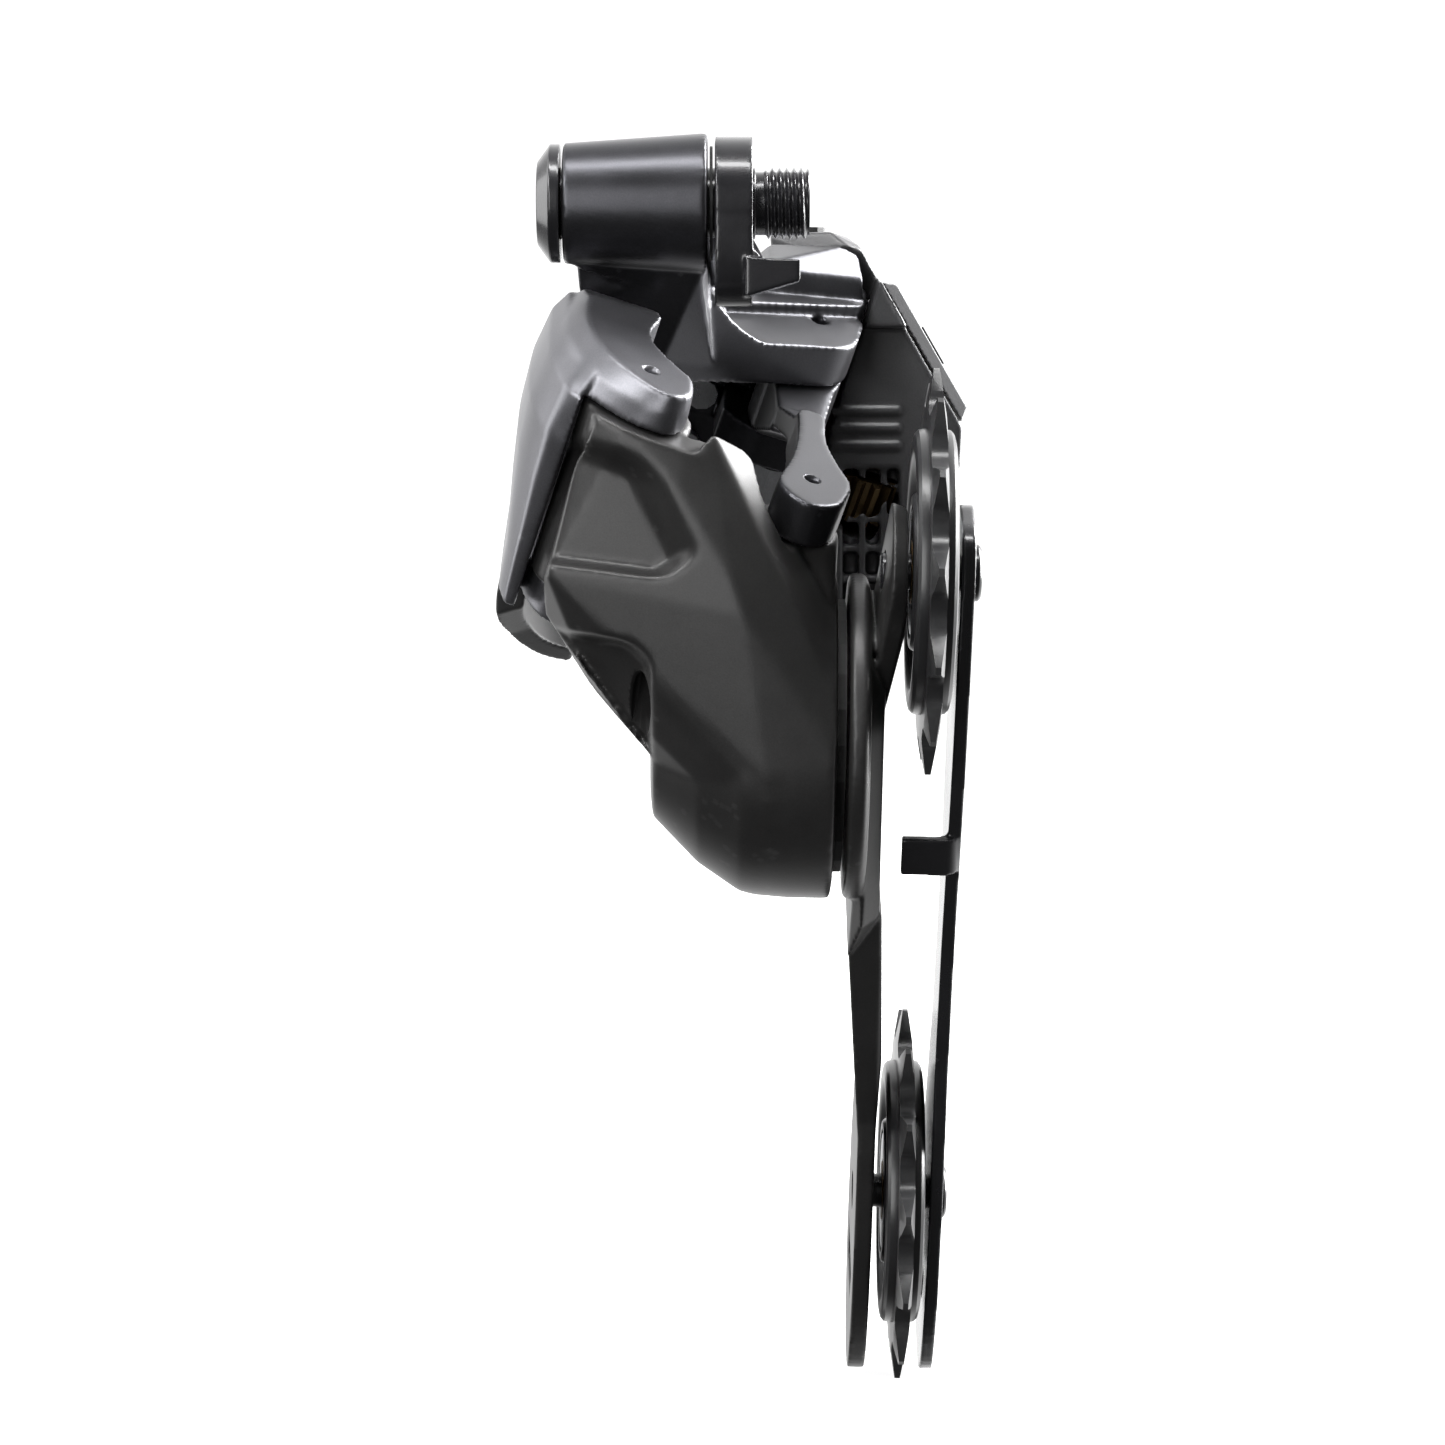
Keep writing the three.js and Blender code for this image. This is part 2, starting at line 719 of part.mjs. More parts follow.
// ---------- servo and battery unit, bolted to the rear of the bracket ----------
// The battery bay has a frame of its own: x out through the door, y to the rear, z up the door.
const bayFrame = new THREE.Group();
bayFrame.position.set(25.8, 52.5, -19.5);
bayFrame.rotation.y = -THREE.MathUtils.degToRad(30);
bayFrame.updateMatrix();
derailleur.add(bayFrame);
const inBay = (geometry) => geometry.applyMatrix4(bayFrame.matrix);
const CASE_REAR = 62;
const GEAR_Z = [-37.4, -31.4]; // drive gears, below the bracket's lower inboard ear
const SECTOR_R = 12; // pitch radii
const PINION_R = 4;
const GEAR_PITCH = (2 * Math.PI * PINION_R) / 10; // ten teeth on the pinion
const PINION = [LINK_SPREAD + 15.6, LINK_LENGTH + 4.4];
const MOTOR = { r: 5, z: [-53, -39.4] };

function addServoCase() {
  const upper = solid(
    hullOf([
      [3, 46, -2], [12, 44, -1.6], [4, 60, -1], [15, 60, -1.6], [17, 44, -4], [20.5, 38, -9], [24, 38, -19],
      [5, 45, -14], [19, 60, -7], [32, 44, -31], [32, CASE_REAR, -32], [5, CASE_REAR, -20], [20, 44, -8.6],
      [31.6, 44, -37], [31.6, CASE_REAR, -38],
    ]),
  );
  const lower = solid(
    hullOf([
      [10, 43, -20], [24, 43, -23], [10, 44, -60], [19, 43, -63], [24, 43, -60], [31.4, 45, -38],
      [31.6, CASE_REAR, -38], [27, CASE_REAR, -60], [10, CASE_REAR, -63], [8, CASE_REAR, -20],
    ]),
  );
  const foot = solid(
    hullOf([
      [-7, 51.5, -42], [-7, 51.5, -57], [12, 50, -36], [12, 50, -62],
      [-5, CASE_REAR, -38], [-5, CASE_REAR, -58], [12, CASE_REAR, -30], [12, CASE_REAR, -63],
    ]),
  );
  const flange = solid(inLink(blockShape([9.5, 31], [BRACKET_REAR + GAP, 74], [-41, -12])));
  const bracketRoom = solid(inLink(blockShape([-30, 33], [30, BRACKET_REAR + GAP], [-70, 12])));
  const frontFace = solid(blockShape([-40, 60], [0, 43.6], [-80, -16])); // clear of the guide pulley's sweep
  const inboardFace = solid(inBay(blockShape([-GAP, 20], [-30, 30], [-12.4, 40])));
  const bay = solid(inBay(blockShape([-10.8, 1], [-7.8, 8.2], [-10.9, 10.9])));
  const gearSpan = [GEAR_Z[0] - 0.5, GEAR_Z[1] + 0.5];
  const gears = solid(inLink(rodZ(SECTOR_R + 2, ...gearSpan, ...PINS.inner_rear, ROUND)));
  const pinionRoom = solid(inLink(rodZ(PINION_R + 1.4, GEAR_Z[0] - 0.5, GEAR_Z[1] + 1.2, ...PINION)));
  const motorRoom = solid(inLink(rodZ(MOTOR.r + GAP, MOTOR.z[0] - GAP, GEAR_Z[0], ...PINION)));
  const screwRoom = CASE_SCREWS.map((z) => solid(inLink(alongY(1.8, 60, 73, 13, z))));
  const buttonRoom = solid(rodZ(2.9, -4.6, 10, 9, 52));
  const lensRoom = solid(rodZ(1.5, -4.3, 10, 9, 57.4));
  const whole = join(upper, lower, foot, flange);
  const cutCase = cut(
    whole, bracketRoom, frontFace, inboardFace, bay, gears, pinionRoom, motorRoom,
    ...screwRoom, buttonRoom, lensRoom,
  );
  return cutCase.decompose().sort((a, b) => b.volume() - a.volume())[0];
}
add("servo_case", caseGrey, addServoCase());
CASE_SCREWS.forEach((z, i) =>
  add(
    "case_screw_" + (i + 1),
    steel,
    join(solid(alongY(1.5, 60.2, 72.4, 13, z)), solid(alongY(2.5, 60.2, 62, 13, z))),
    linkage,
  ),
);
add("battery_pack", mattBlack, blockShape([-10.4, -1.2], [-7.4, 7.8], [-10.5, 10.5]), bayFrame);
function addBatteryDoor() {
  const panel = solid(
    hullOf([
      [0, -8.6, -12], [0, 8.8, -12], [0, 8.8, 12], [0, -8.6, 12],
      [1.8, -7.4, -10.6], [1.8, 7.8, -10.6], [1.8, 7.8, 10.6], [1.8, -7.4, 10.6],
    ]),
  );
  const latchRoom = solid(blockShape([1, 4], [-5.2, -1.8], [-4.4, 4.4]));
  return cut(panel, latchRoom);
}
add("battery_door", caseGrey, addBatteryDoor(), bayFrame);
add("door_latch", glossBlack, blockShape([1.3, 2.2], [-4.9, -2.1], [-3.2, 3.2]), bayFrame);
add("servo_motor", steel, rodZ(MOTOR.r, ...MOTOR.z, ...PINION), linkage);
add("mode_button", mattBlack, rodZ(2.5, -4, -0.6, 9, 52));
add("status_lens", seal, rodZ(1.2, -4, -1.4, 9, 57.4));

// Drive gears: a sector on the inner link's rear pin, turned by the motor's pinion
function gearOutline(pitchR, teeth, [from, to], phase) {
  const step = GEAR_PITCH / pitchR;
  const outline = [];
  for (let i = 0; i < teeth; i++) {
    const middle = phase + i * step;
    for (const [turn, r] of [[-0.3, -0.95], [-0.13, 0.6], [0.13, 0.6], [0.3, -0.95]])
      outline.push([middle + turn * step, pitchR + r]);
  }
  return outline.filter(([t]) => t >= from && t <= to).map(([t, r]) => [r * Math.cos(t), r * Math.sin(t)]);
}
const sectorAim = Math.atan2(PINION[1] - LINK_LENGTH, PINION[0] - LINK_SPREAD);
const SECTOR_TEETH = 7;
const sectorStep = GEAR_PITCH / SECTOR_R;
const sectorTeeth = gearOutline(
  SECTOR_R, SECTOR_TEETH, [-9, 9], sectorAim - ((SECTOR_TEETH - 1) / 2) * sectorStep,
);
const shiftTo = ([x, y]) => (points) => points.map(([a, b]) => [a + x, b + y]);
add(
  "drive_sector",
  steel,
  cut(
    join(
      solid(plateZ(shiftTo(PINS.inner_rear)([...sectorTeeth, [-1, 1]]), GEAR_Z)),
      solid(rodZ(4.4, GEAR_Z[0], GEAR_Z[1] + 0.4, ...PINS.inner_rear)),
    ),
    solid(rodZ(PIN_R + GAP, -60, 0, ...PINS.inner_rear)),
  ),
  linkage,
);
add(
  "drive_pinion",
  brass,
  plateZ(
    shiftTo(PINION)(gearOutline(PINION_R, 10, [-9, 9], sectorAim + Math.PI + Math.PI / 10)),
    [GEAR_Z[0], GEAR_Z[1] + 0.6],
  ),
  linkage,
);

// ---------- knuckle housing: carries the cage axle, hung from both links' front pins ----------
function drumRing(x, r, degrees) {
  return degrees.map((d) => {
    const t = THREE.MathUtils.degToRad(d);
    return [x, AXLE.y + r * Math.cos(t), AXLE.z + r * Math.sin(t)];
  });
}
function addKnuckleHousing() {
  const drum = solid(
    onAxle(
      turnedX([
        [-13.6, 0],
        [-13.6, 9],
        [-12, 11.6],
        [-0.6, 21.6],
        [1.6, DRUM_R],
        [11.2, DRUM_R],
        [11.2, 0],
      ]),
    ),
  );
  const shield = solid(
    hullOf([
      [-22, -25, -28.4], [-17, -27, -30.6], [-9.1, -27, -31.2], [-5.3, -26, -31.8], [-1.1, -22, -34],
      [-27.6, -24.6, -50.7], [-28.4, -21, -52], [-28.4, -16, -56], [-22.8, -20, -63.3], [-22.3, -14, -66],
      [-13.6, -16, -76], [-13.6, -8, -76], [-10, -27.4, -39], [-2.5, -28.4, -52],
      [6.3, -22, -50.4], [11, -12, -50.9], [-20, -8, -62], [4, -10, -44],
      ...drumRing(1.6, DRUM_R, [180, 200, 220, 150, 120, 90]),
      ...drumRing(11, DRUM_R, [180, 200, 150, 120, 90]),
    ]),
  );
  const lugOuter = solid(inLink(rodZ(7.6, Z.knuckleBottom, Z.knuckleTop, ...PINS.outer_front, ROUND)));
  const lugInner = solid(
    hullOf([
      ...circle(12, (t) => linkPoint(LINK_SPREAD + 6 * Math.cos(t), 6 * Math.sin(t), Z.lugTop)),
      ...circle(12, (t) => linkPoint(LINK_SPREAD + 6 * Math.cos(t), 6 * Math.sin(t), Z.lugBottom)),
      ...drumRing(-1, 19, [90, 130]),
      ...drumRing(11, DRUM_R - 0.4, [70, 90, 130]),
    ]),
  );
  // Room for the outer link's ears and wall, and for the inner link's ear, as they swing
  const swing = THREE.MathUtils.degToRad(24);
  const wallRoom = solid(
    inLink(wedge(Math.PI - swing * 2.2, Math.PI * 1.14 + swing, 8, 45, Z.linkBottom - 0.5, 3, [0, 0])),
  );
  const earRoom = solid(inLink(rodZ(12, Z.earBottom - GAP, 8, ...PINS.outer_front, ROUND)));
  const lowerSpan = [Z.linkBottom - 0.4, Z.linkBottomTop + 0.35];
  const lowerEarRoom = solid(inLink(rodZ(7.6, ...lowerSpan, ...PINS.outer_front, ROUND)));
  const lowerRearRoom = solid(inLink(wedge(-0.3, Math.PI + 0.4, 0.5, 30, ...lowerSpan, [0, 0])));
  const innerSpan = [Z.innerEarBottom - GAP, 6];
  const innerEarRoom = solid(inLink(rodZ(9.4, ...innerSpan, ...PINS.inner_front, ROUND)));
  const innerArmRoom = solid(
    inLink(wedge(0.15 * Math.PI, 0.85 * Math.PI, 0.5, 30, ...innerSpan, PINS.inner_front)),
  );
  const cavity = solid(onAxle(rodX(19.4, 2, 14, 0, 0, ROUND)));
  const springBore = solid(onAxle(rodX(10, -9, 3, 0, 0, ROUND)));
  const axleBore = solid(onAxle(rodX(5.9, -12.6, -8)));
  const endBore = solid(onAxle(rodX(3.6, -15, -8)));
  // A recess above the plateau, and an oval pocket below it
  const pocket = solid(
    hullOf([
      [-19.5, -30, -36], [-11.5, -30, -37.5], [-5.4, -30, -50.6], [-8.6, -30, -53.4], [-22.6, -30, -49],
      [-18.6, -25.6, -38.4], [-13.2, -25.8, -39.4], [-8.2, -26, -49.4], [-10, -26, -51], [-20.8, -25, -47.6],
    ]),
  );
  const oval = solid(
    hullOf([
      ...circle(12, (t) => [-15.4 + 2.2 * Math.cos(t), -34, -70 + 6.2 * Math.sin(t)]),
      ...circle(12, (t) => [-15 + 1.4 * Math.cos(t), -16, -69.4 + 4.8 * Math.sin(t)]),
    ]),
  );
  const body = cut(
    join(drum, shield, lugOuter, lugInner),
    wallRoom, earRoom, lowerEarRoom, lowerRearRoom, innerEarRoom, innerArmRoom,
    cavity, springBore, axleBore, endBore, pocket, oval,
    solid(inLink(rodZ(BUSH_R + 0.1, -60, 0, ...PINS.outer_front))),
    solid(inLink(rodZ(BUSH_R + 0.1, Z.lugBottom + 0.5, 0, ...PINS.inner_front))),
  );
  return body.decompose().sort((a, b) => b.volume() - a.volume())[0];
}
add("knuckle_housing", castBlack, addKnuckleHousing());

add(
  "cage_axle",
  steel,
  join(solid(rodX(3, -11.6, -9.6)), solid(rodX(4, -9.6, 12.4))),
  axleFrame,
);
add("axle_clip", steel, ringX(3.3, 5.4, -11.4, -10.6), axleFrame);
add("axle_bush", brass, ringX(4.3, 5.6, -9.6, -8.2), axleFrame);
class Helix extends THREE.Curve {
  constructor(radius, length, turns) {
    super();
    Object.assign(this, { radius, length, turns });
  }
  getPoint(t, target = new THREE.Vector3()) {
    const angle = 2 * Math.PI * this.turns * t;
    return target.set(this.length * t, this.radius * Math.cos(angle), this.radius * Math.sin(angle));
  }
}
add(
  "cage_spring",
  steel,
  new THREE.ExtrudeGeometry(shapeOf(circle(6, (t) => [0.75 * Math.cos(t), 0.75 * Math.sin(t)])), {
    extrudePath: new Helix(7.4, 8, 4),
    steps: 48,
    bevelEnabled: false,
  }).translate(-7, 0, 0),
  axleFrame,
);
add("clutch_drum", steel, ringX(4.3, 12, 3, 10.4, 0, 0, ROUND), axleFrame);
add("clutch_band", steel, ringX(12.5, 13.5, 3.6, 9.8, 0, 0, ROUND), axleFrame);
add("seal_ring", seal, ringX(16.4, 19, 10.2, 12.5, 0, 0, ROUND), axleFrame);

// ---------- cage ----------
const FOOT_END = -110; // lowest point of both plates
function addOuterCagePlate() {
  const disc = solid(
    turnedX([[12.9, 0], [12.9, DRUM_R - 0.6], [13.4, DRUM_R], [15, DRUM_R], [15.8, DRUM_R - 0.8], [15.8, 0]]),
  );
  const hub = solid(
    hullOf([
      [15.6, -12, 18], [15.6, 12, 18], [15.6, -15, -22], [15.6, 14, -26], [14, -12, -29], [14, 11, -30],
      [17.8, -10, 13], [17.8, 10, 13], [18.2, -12, -22], [18.2, 11, -26],
    ]),
  );
  const arm = solid(
    hullOf([
      ...circle(12, (t) => [20.3, 8.6 * Math.cos(t), GUIDE_Z + 8.6 * Math.sin(t)]),
      ...circle(12, (t) => [18.2, 9.4 * Math.cos(t), GUIDE_Z + 9.4 * Math.sin(t)]),
      [15.4, -10, 9], [15.4, 10, 9], [17.8, -9, 9], [17.8, 9, 9],
    ]),
  );
  const leg = solid(
    hullOf([
      [14, -11.5, -27], [14, 10.5, -27], [18.6, -11.5, -22], [18.6, 10.5, -24],
      [16.6, -9.5, -62], [16.6, 8.5, -62], [19.6, -9.5, -48], [19.6, 8.5, -48],
      [19.2, -9.5, -62], [19.2, 8.5, -62],
    ]),
  );
  const foot = solid(
    plateX(
      rounded([
        [-9.5, -58], [-12.5, -72, 6], [-13.5, -92, 10], [-8, FOOT_END + 3, 8], [4, FOOT_END, 8],
        [13, -98, 10], [13.5, -78, 8], [8.5, -58],
      ]),
      [16.6, 19.2],
      [[0, TENSION_Z - 14, 3]],
    ),
  );
  return cut(
    join(disc, hub, arm, leg, foot),
    solid(rodX(4.3, 12, 14.4, 0, 0)),
    solid(rodX(2.6 + GAP, 12, 24, 0, GUIDE_Z)),
    solid(rodX(2.6 + GAP, 12, 24, 0, TENSION_Z)),
  );
}
add("outer_cage_plate", castBlack, addOuterCagePlate(), cage);

const INNER_PLATE = [27.4, 29.3];
function addInnerCagePlate() {
  const outline = rounded([
    [-8.5, 26, 5], [-6, 34.5, 4], [6, 34.5, 4], [9.5, 26, 5], [9, 6, 8], [5, -18, 8], [5, -44, 8],
    [9, -62, 6],
    [13.5, -78, 8], [13, -98, 10], [4, FOOT_END, 8], [-8, FOOT_END + 3, 8], [-13.5, -92, 10],
    [-12.5, -72, 6], [-8, -52, 6], [-7, -30, 6], [-9.5, 0, 8],
  ]);
  const plate = solid(plateX(outline, INNER_PLATE, [[0, GUIDE_Z, 2.9], [0, TENSION_Z, 2.9]]));
  const tab = join(
    solid(blockShape([20.4, INNER_PLATE[1]], [-9.6, -7.8], [-23, -17])),
    solid(blockShape(INNER_PLATE, [-9.6, -6], [-23, -17])),
  );
  return join(plate, tab);
}
add("inner_cage_plate", glossBlack, addInnerCagePlate(), cage);

// One tooth: shares of a tooth's turn, and heights over the pitch circle
const TOOTH = [
  [-0.5, -3.9], [-0.36, -3.1], [-0.2, 0], [-0.09, 1.2], [0.09, 1.2], [0.2, 0], [0.36, -3.1],
];
function pulleyOutline() {
  const pitchR = CHAIN_PITCH / 2 / Math.sin(Math.PI / PULLEY_TEETH);
  const outline = [];
  for (let i = 0; i < PULLEY_TEETH; i++) {
    const middle = (2 * Math.PI * (i + 0.5)) / PULLEY_TEETH;
    for (const [turn, r] of TOOTH) {
      const t = middle + (turn * 2 * Math.PI) / PULLEY_TEETH;
      outline.push([(pitchR + r) * Math.cos(t), (pitchR + r) * Math.sin(t)]);
    }
  }
  return outline;
}
function addPulley() {
  const teeth = solid(plateX(pulleyOutline(), [PULLEY_X - 1.1, PULLEY_X + 1.1]));
  const flanges = solid(ringX(4.6, 19.4, PULLEY_X - PULLEY_HALF, PULLEY_X + PULLEY_HALF, 0, 0, ROUND));
  const bore = solid(rodX(4.6, 10, 40, 0, 0));
  const capRoom = [-1, 1].map((side) => {
    const face = PULLEY_X + side * (PULLEY_HALF + 0.1);
    return solid(rodX(9, face - 0.9, face + 0.9));
  });
  return cut(join(teeth, flanges), bore, ...capRoom);
}
const pulley = geometryOf(addPulley());
for (const [name, z] of [["guide", GUIDE_Z], ["tension", TENSION_Z]]) {
  const axis = new THREE.Group();
  axis.position.z = z;
  cage.add(axis);
  add(name + "_pulley", darkResin, pulley, axis);
  add(name + "_bush", brass, ringX(2.8, 4.3, PULLEY_X - PULLEY_HALF, PULLEY_X + PULLEY_HALF), axis);
  add(name + "_cap_outer", steel, ringX(4.6, 8.6, PULLEY_X - 2.7, PULLEY_X - 2.3), axis);
  add(name + "_cap_inner", steel, ringX(4.6, 8.6, PULLEY_X + 2.3, PULLEY_X + 2.7), axis);
  add(
    name + "_bolt",
    steel,
    join(
      solid(rodX(2.5, 16.8, INNER_PLATE[1] + 0.8, 0, 0)),
      solid(rodX(4.4, INNER_PLATE[1] + GAP, INNER_PLATE[1] + 1.6, 0, 0)),
    ),
    axis,
  );
}

export default derailleur;
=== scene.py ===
import json
import math

import bmesh
import bpy
import numpy as np
from mathutils import Matrix, Vector


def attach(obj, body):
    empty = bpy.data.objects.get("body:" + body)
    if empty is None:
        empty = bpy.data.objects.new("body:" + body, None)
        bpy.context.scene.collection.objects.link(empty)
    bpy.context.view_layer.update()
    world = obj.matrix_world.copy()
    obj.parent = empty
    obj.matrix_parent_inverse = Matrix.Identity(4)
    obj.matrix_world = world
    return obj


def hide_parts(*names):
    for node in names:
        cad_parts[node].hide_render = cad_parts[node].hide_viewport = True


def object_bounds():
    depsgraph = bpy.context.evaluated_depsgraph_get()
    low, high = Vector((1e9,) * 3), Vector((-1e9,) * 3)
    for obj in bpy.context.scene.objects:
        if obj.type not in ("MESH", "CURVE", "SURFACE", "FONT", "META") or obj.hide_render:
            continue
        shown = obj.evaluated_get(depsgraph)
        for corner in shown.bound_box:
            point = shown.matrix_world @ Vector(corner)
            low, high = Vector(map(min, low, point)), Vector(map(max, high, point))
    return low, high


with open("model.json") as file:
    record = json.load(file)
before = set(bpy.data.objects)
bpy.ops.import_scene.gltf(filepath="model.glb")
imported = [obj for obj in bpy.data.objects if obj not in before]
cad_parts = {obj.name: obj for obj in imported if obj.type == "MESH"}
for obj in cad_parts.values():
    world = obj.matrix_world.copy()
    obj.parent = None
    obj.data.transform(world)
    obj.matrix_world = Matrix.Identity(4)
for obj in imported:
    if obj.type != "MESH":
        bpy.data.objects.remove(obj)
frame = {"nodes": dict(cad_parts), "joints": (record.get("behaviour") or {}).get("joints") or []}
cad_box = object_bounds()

# A rear bicycle derailleur. Shapes are given in millimetres in the CAD's frame, or in the frame of the
# linkage, of the cage axle, of the cage or of the battery bay, all of which are worked out from the joints.
MM = 0.001
FACETS = 96
FINE_FACETS = 160

joints = {j["name"]: j for j in frame["joints"]}


def joint_at(name):
    return Vector(joints[name]["pos_m"]) / MM


def joint_axis(name):
    return Vector(joints[name]["axis"]).normalized()


def frame_of(x, y, z, origin):
    matrix = Matrix.Identity(4)
    for column, axis in enumerate((x, y, z, origin)):
        matrix[0][column], matrix[1][column], matrix[2][column] = axis
    return matrix


# The linkage's frame: x across to the inboard link, y to the rear pins, z up the pins
pin_axis = joint_axis("outer_link_pivot")
to_rear = (joint_at("outer_link_pivot") - joint_at("knuckle_pivot")).normalized()
LINK = frame_of(to_rear.cross(pin_axis), to_rear, pin_axis, joint_at("knuckle_pivot"))
LINK_LENGTH = (joint_at("outer_link_pivot") - joint_at("knuckle_pivot")).length
LINK_SPREAD = (joint_at("inner_link_pivot") - joint_at("outer_link_pivot")).length
PINS = {
    "outer_front": (0, 0),
    "outer_rear": (0, LINK_LENGTH),
    "inner_front": (LINK_SPREAD, 0),
    "inner_rear": (LINK_SPREAD, LINK_LENGTH),
}
# The axle's frame has x along the cage axle; the cage's has z up from the tension to the guide pulley
axle_x = joint_axis("guide_pulley_spin")
AXLE = frame_of(axle_x, Vector((0, 1, 0)), axle_x.cross(Vector((0, 1, 0))), joint_at("cage_pivot"))
cage_z = (joint_at("guide_pulley_spin") - joint_at("tension_pulley_spin")).normalized()
CAGE = frame_of(axle_x, cage_z.cross(axle_x), cage_z, joint_at("cage_pivot"))
cage_in = CAGE.inverted()
GUIDE = cage_in @ joint_at("guide_pulley_spin")
TENSION = cage_in @ joint_at("tension_pulley_spin")
# The battery bay's frame: x out through the door, y to the rear, z up the door; its hinge is off its middle
HINGE_X, HINGE_Y = 0.9, 9.2
bay_z = joint_axis("battery_door_hinge")
bay_y = Vector((0, 1, 0))
bay_x = bay_y.cross(bay_z)
BAY = frame_of(bay_x, bay_y, bay_z, joint_at("battery_door_hinge") - HINGE_X * bay_x - HINGE_Y * bay_y)
WORLD = Matrix.Identity(4)


# ---------- meshes ----------
ON_AXIS = 1e-6
DOUBLES = 1e-7
SHARP = 0.05


def mesh_object(name, points, faces, matrix=WORLD):
    mesh = bpy.data.meshes.new(name)
    mesh.from_pydata([(matrix @ Vector(p)) * MM for p in points], [], faces)
    obj = bpy.data.objects.new(name, mesh)
    bpy.context.scene.collection.objects.link(obj)
    face_out(obj)
    return obj


def face_out(obj):
    work = bmesh.new()
    work.from_mesh(obj.data)
    bmesh.ops.remove_doubles(work, verts=work.verts, dist=DOUBLES)
    bmesh.ops.recalc_face_normals(work, faces=work.faces)
    if work.calc_volume(signed=True) < 0:
        bmesh.ops.reverse_faces(work, faces=work.faces)
    work.to_mesh(obj.data)
    work.free()


def around(count):
    """The angles of a full turn in equal steps."""
    return [2 * k * math.pi / count for k in range(count)]


def turned(profile, matrix=WORLD, facets=FACETS):
    """A solid of revolution about x. The profile's points are (x, radius)."""
    points, rings, faces = [], [], []
    for x, r in profile:
        if r < ON_AXIS:
            rings.append([len(points)] * facets)
            points.append((x, 0, 0))
            continue
        rings.append(list(range(len(points), len(points) + facets)))
        points += [(x, r * math.cos(turn), r * math.sin(turn)) for turn in around(facets)]
    closed = profile[0][1] > ON_AXIS
    for a, b in zip(rings, rings[1:] + (rings[:1] if closed else [])):
        for k in range(facets):
            n = (k + 1) % facets
            face = list(dict.fromkeys([a[k], a[n], b[n], b[k]]))
            if len(face) > 2:
                faces.append(face)
    return mesh_object("turned", points, faces, matrix)


def prism(outline, low, high, matrix=WORLD):
    """An outline in the xy plane between two heights."""
    n = len(outline)
    points = [(x, y, low) for x, y in outline] + [(x, y, high) for x, y in outline]
    faces = [list(range(n))[::-1], list(range(n, 2 * n))]
    faces += [[k, (k + 1) % n, n + (k + 1) % n, n + k] for k in range(n)]
    return mesh_object("prism", points, faces, matrix)


UP_X = Matrix(((0, 0, 1, 0), (1, 0, 0, 0), (0, 1, 0, 0), (0, 0, 0, 1)))  # outline (y, z), heights along x
UP_Y = Matrix(((1, 0, 0, 0), (0, 0, -1, 0), (0, 1, 0, 0), (0, 0, 0, 1)))  # outline (x, z), heights along -y
UP_Z = Matrix(((0, 0, -1, 0), (0, 1, 0, 0), (1, 0, 0, 0), (0, 0, 0, 1)))  # turned() about z instead of x


def hull(points, matrix=WORLD):
    work = bmesh.new()
    for p in points:
        work.verts.new((matrix @ Vector(p)) * MM)
    made = bmesh.ops.convex_hull(work, input=work.verts)
    inside = [g for g in made["geom_interior"] if isinstance(g, bmesh.types.BMVert)]
    bmesh.ops.delete(work, geom=inside)
    mesh = bpy.data.meshes.new("hull")
    work.to_mesh(mesh)
    work.free()
    obj = bpy.data.objects.new("hull", mesh)
    bpy.context.scene.collection.objects.link(obj)
    face_out(obj)
    return obj


def block(x, y, z, matrix=WORLD):
    return hull([(a, b, c) for a in x for b in y for c in z], matrix)


def rod_x(r, low, high, matrix=WORLD, facets=48):
    """A cylinder along x."""
    return turned([(low, 0), (low, r), (high, r), (high, 0)], matrix, facets)


def rod(r, low, high, at, matrix=WORLD, facets=48):
    """A cylinder along z, through (x, y)."""
    return rod_x(r, low, high, matrix @ Matrix.Translation((at[0], at[1], 0)) @ UP_Z, facets)


def curve(start, corner, end, shares):
    """Points along the short curve that turns a corner."""
    return [tuple(start * (1 - t) ** 2 + corner * 2 * t * (1 - t) + end * t * t) for t in shares]


def rounded(corners, steps=8):
    """An outline whose corners are (x, y, radius), each turned with a short curve."""
    points = []
    for i, corner in enumerate(corners):
        here = Vector(corner[:2])
        r = corner[2] if len(corner) > 2 else 0
        back = Vector(corners[i - 1][:2]) - here
        on = Vector(corners[(i + 1) % len(corners)][:2]) - here
        reach = min(r, back.length / 2, on.length / 2)
        if reach < SHARP:
            points.append(tuple(here))
            continue
        start = here + back.normalized() * reach
        end = here + on.normalized() * reach
        points += curve(start, here, end, [k / steps for k in range(steps + 1)])
    return points


def lofted(sections, matrix=WORLD, steps=6):
    """A solid through outlines of equal count. A section is (height, corners as for rounded)."""
    levels = [(height, rounded(corners)) for height, corners in sections]
    points, faces = [], []
    for (low, a), (high, b) in zip(levels, levels[1:]):
        for k in range(steps):
            t = k / steps
            for p, q in zip(a, b):
                points.append((p[0] + (q[0] - p[0]) * t, p[1] + (q[1] - p[1]) * t, low + (high - low) * t))
    points += [(x, y, levels[-1][0]) for x, y in levels[-1][1]]
    n = len(levels[0][1])
    rows = len(points) // n
    for at in range(0, n * (rows - 1), n):
        faces += [[at + k, at + (k + 1) % n, at + n + (k + 1) % n, at + n + k] for k in range(n)]
    faces += [list(range(n))[::-1], list(range(n * (rows - 1), n * rows))]
    return mesh_object("loft", points, faces, matrix)


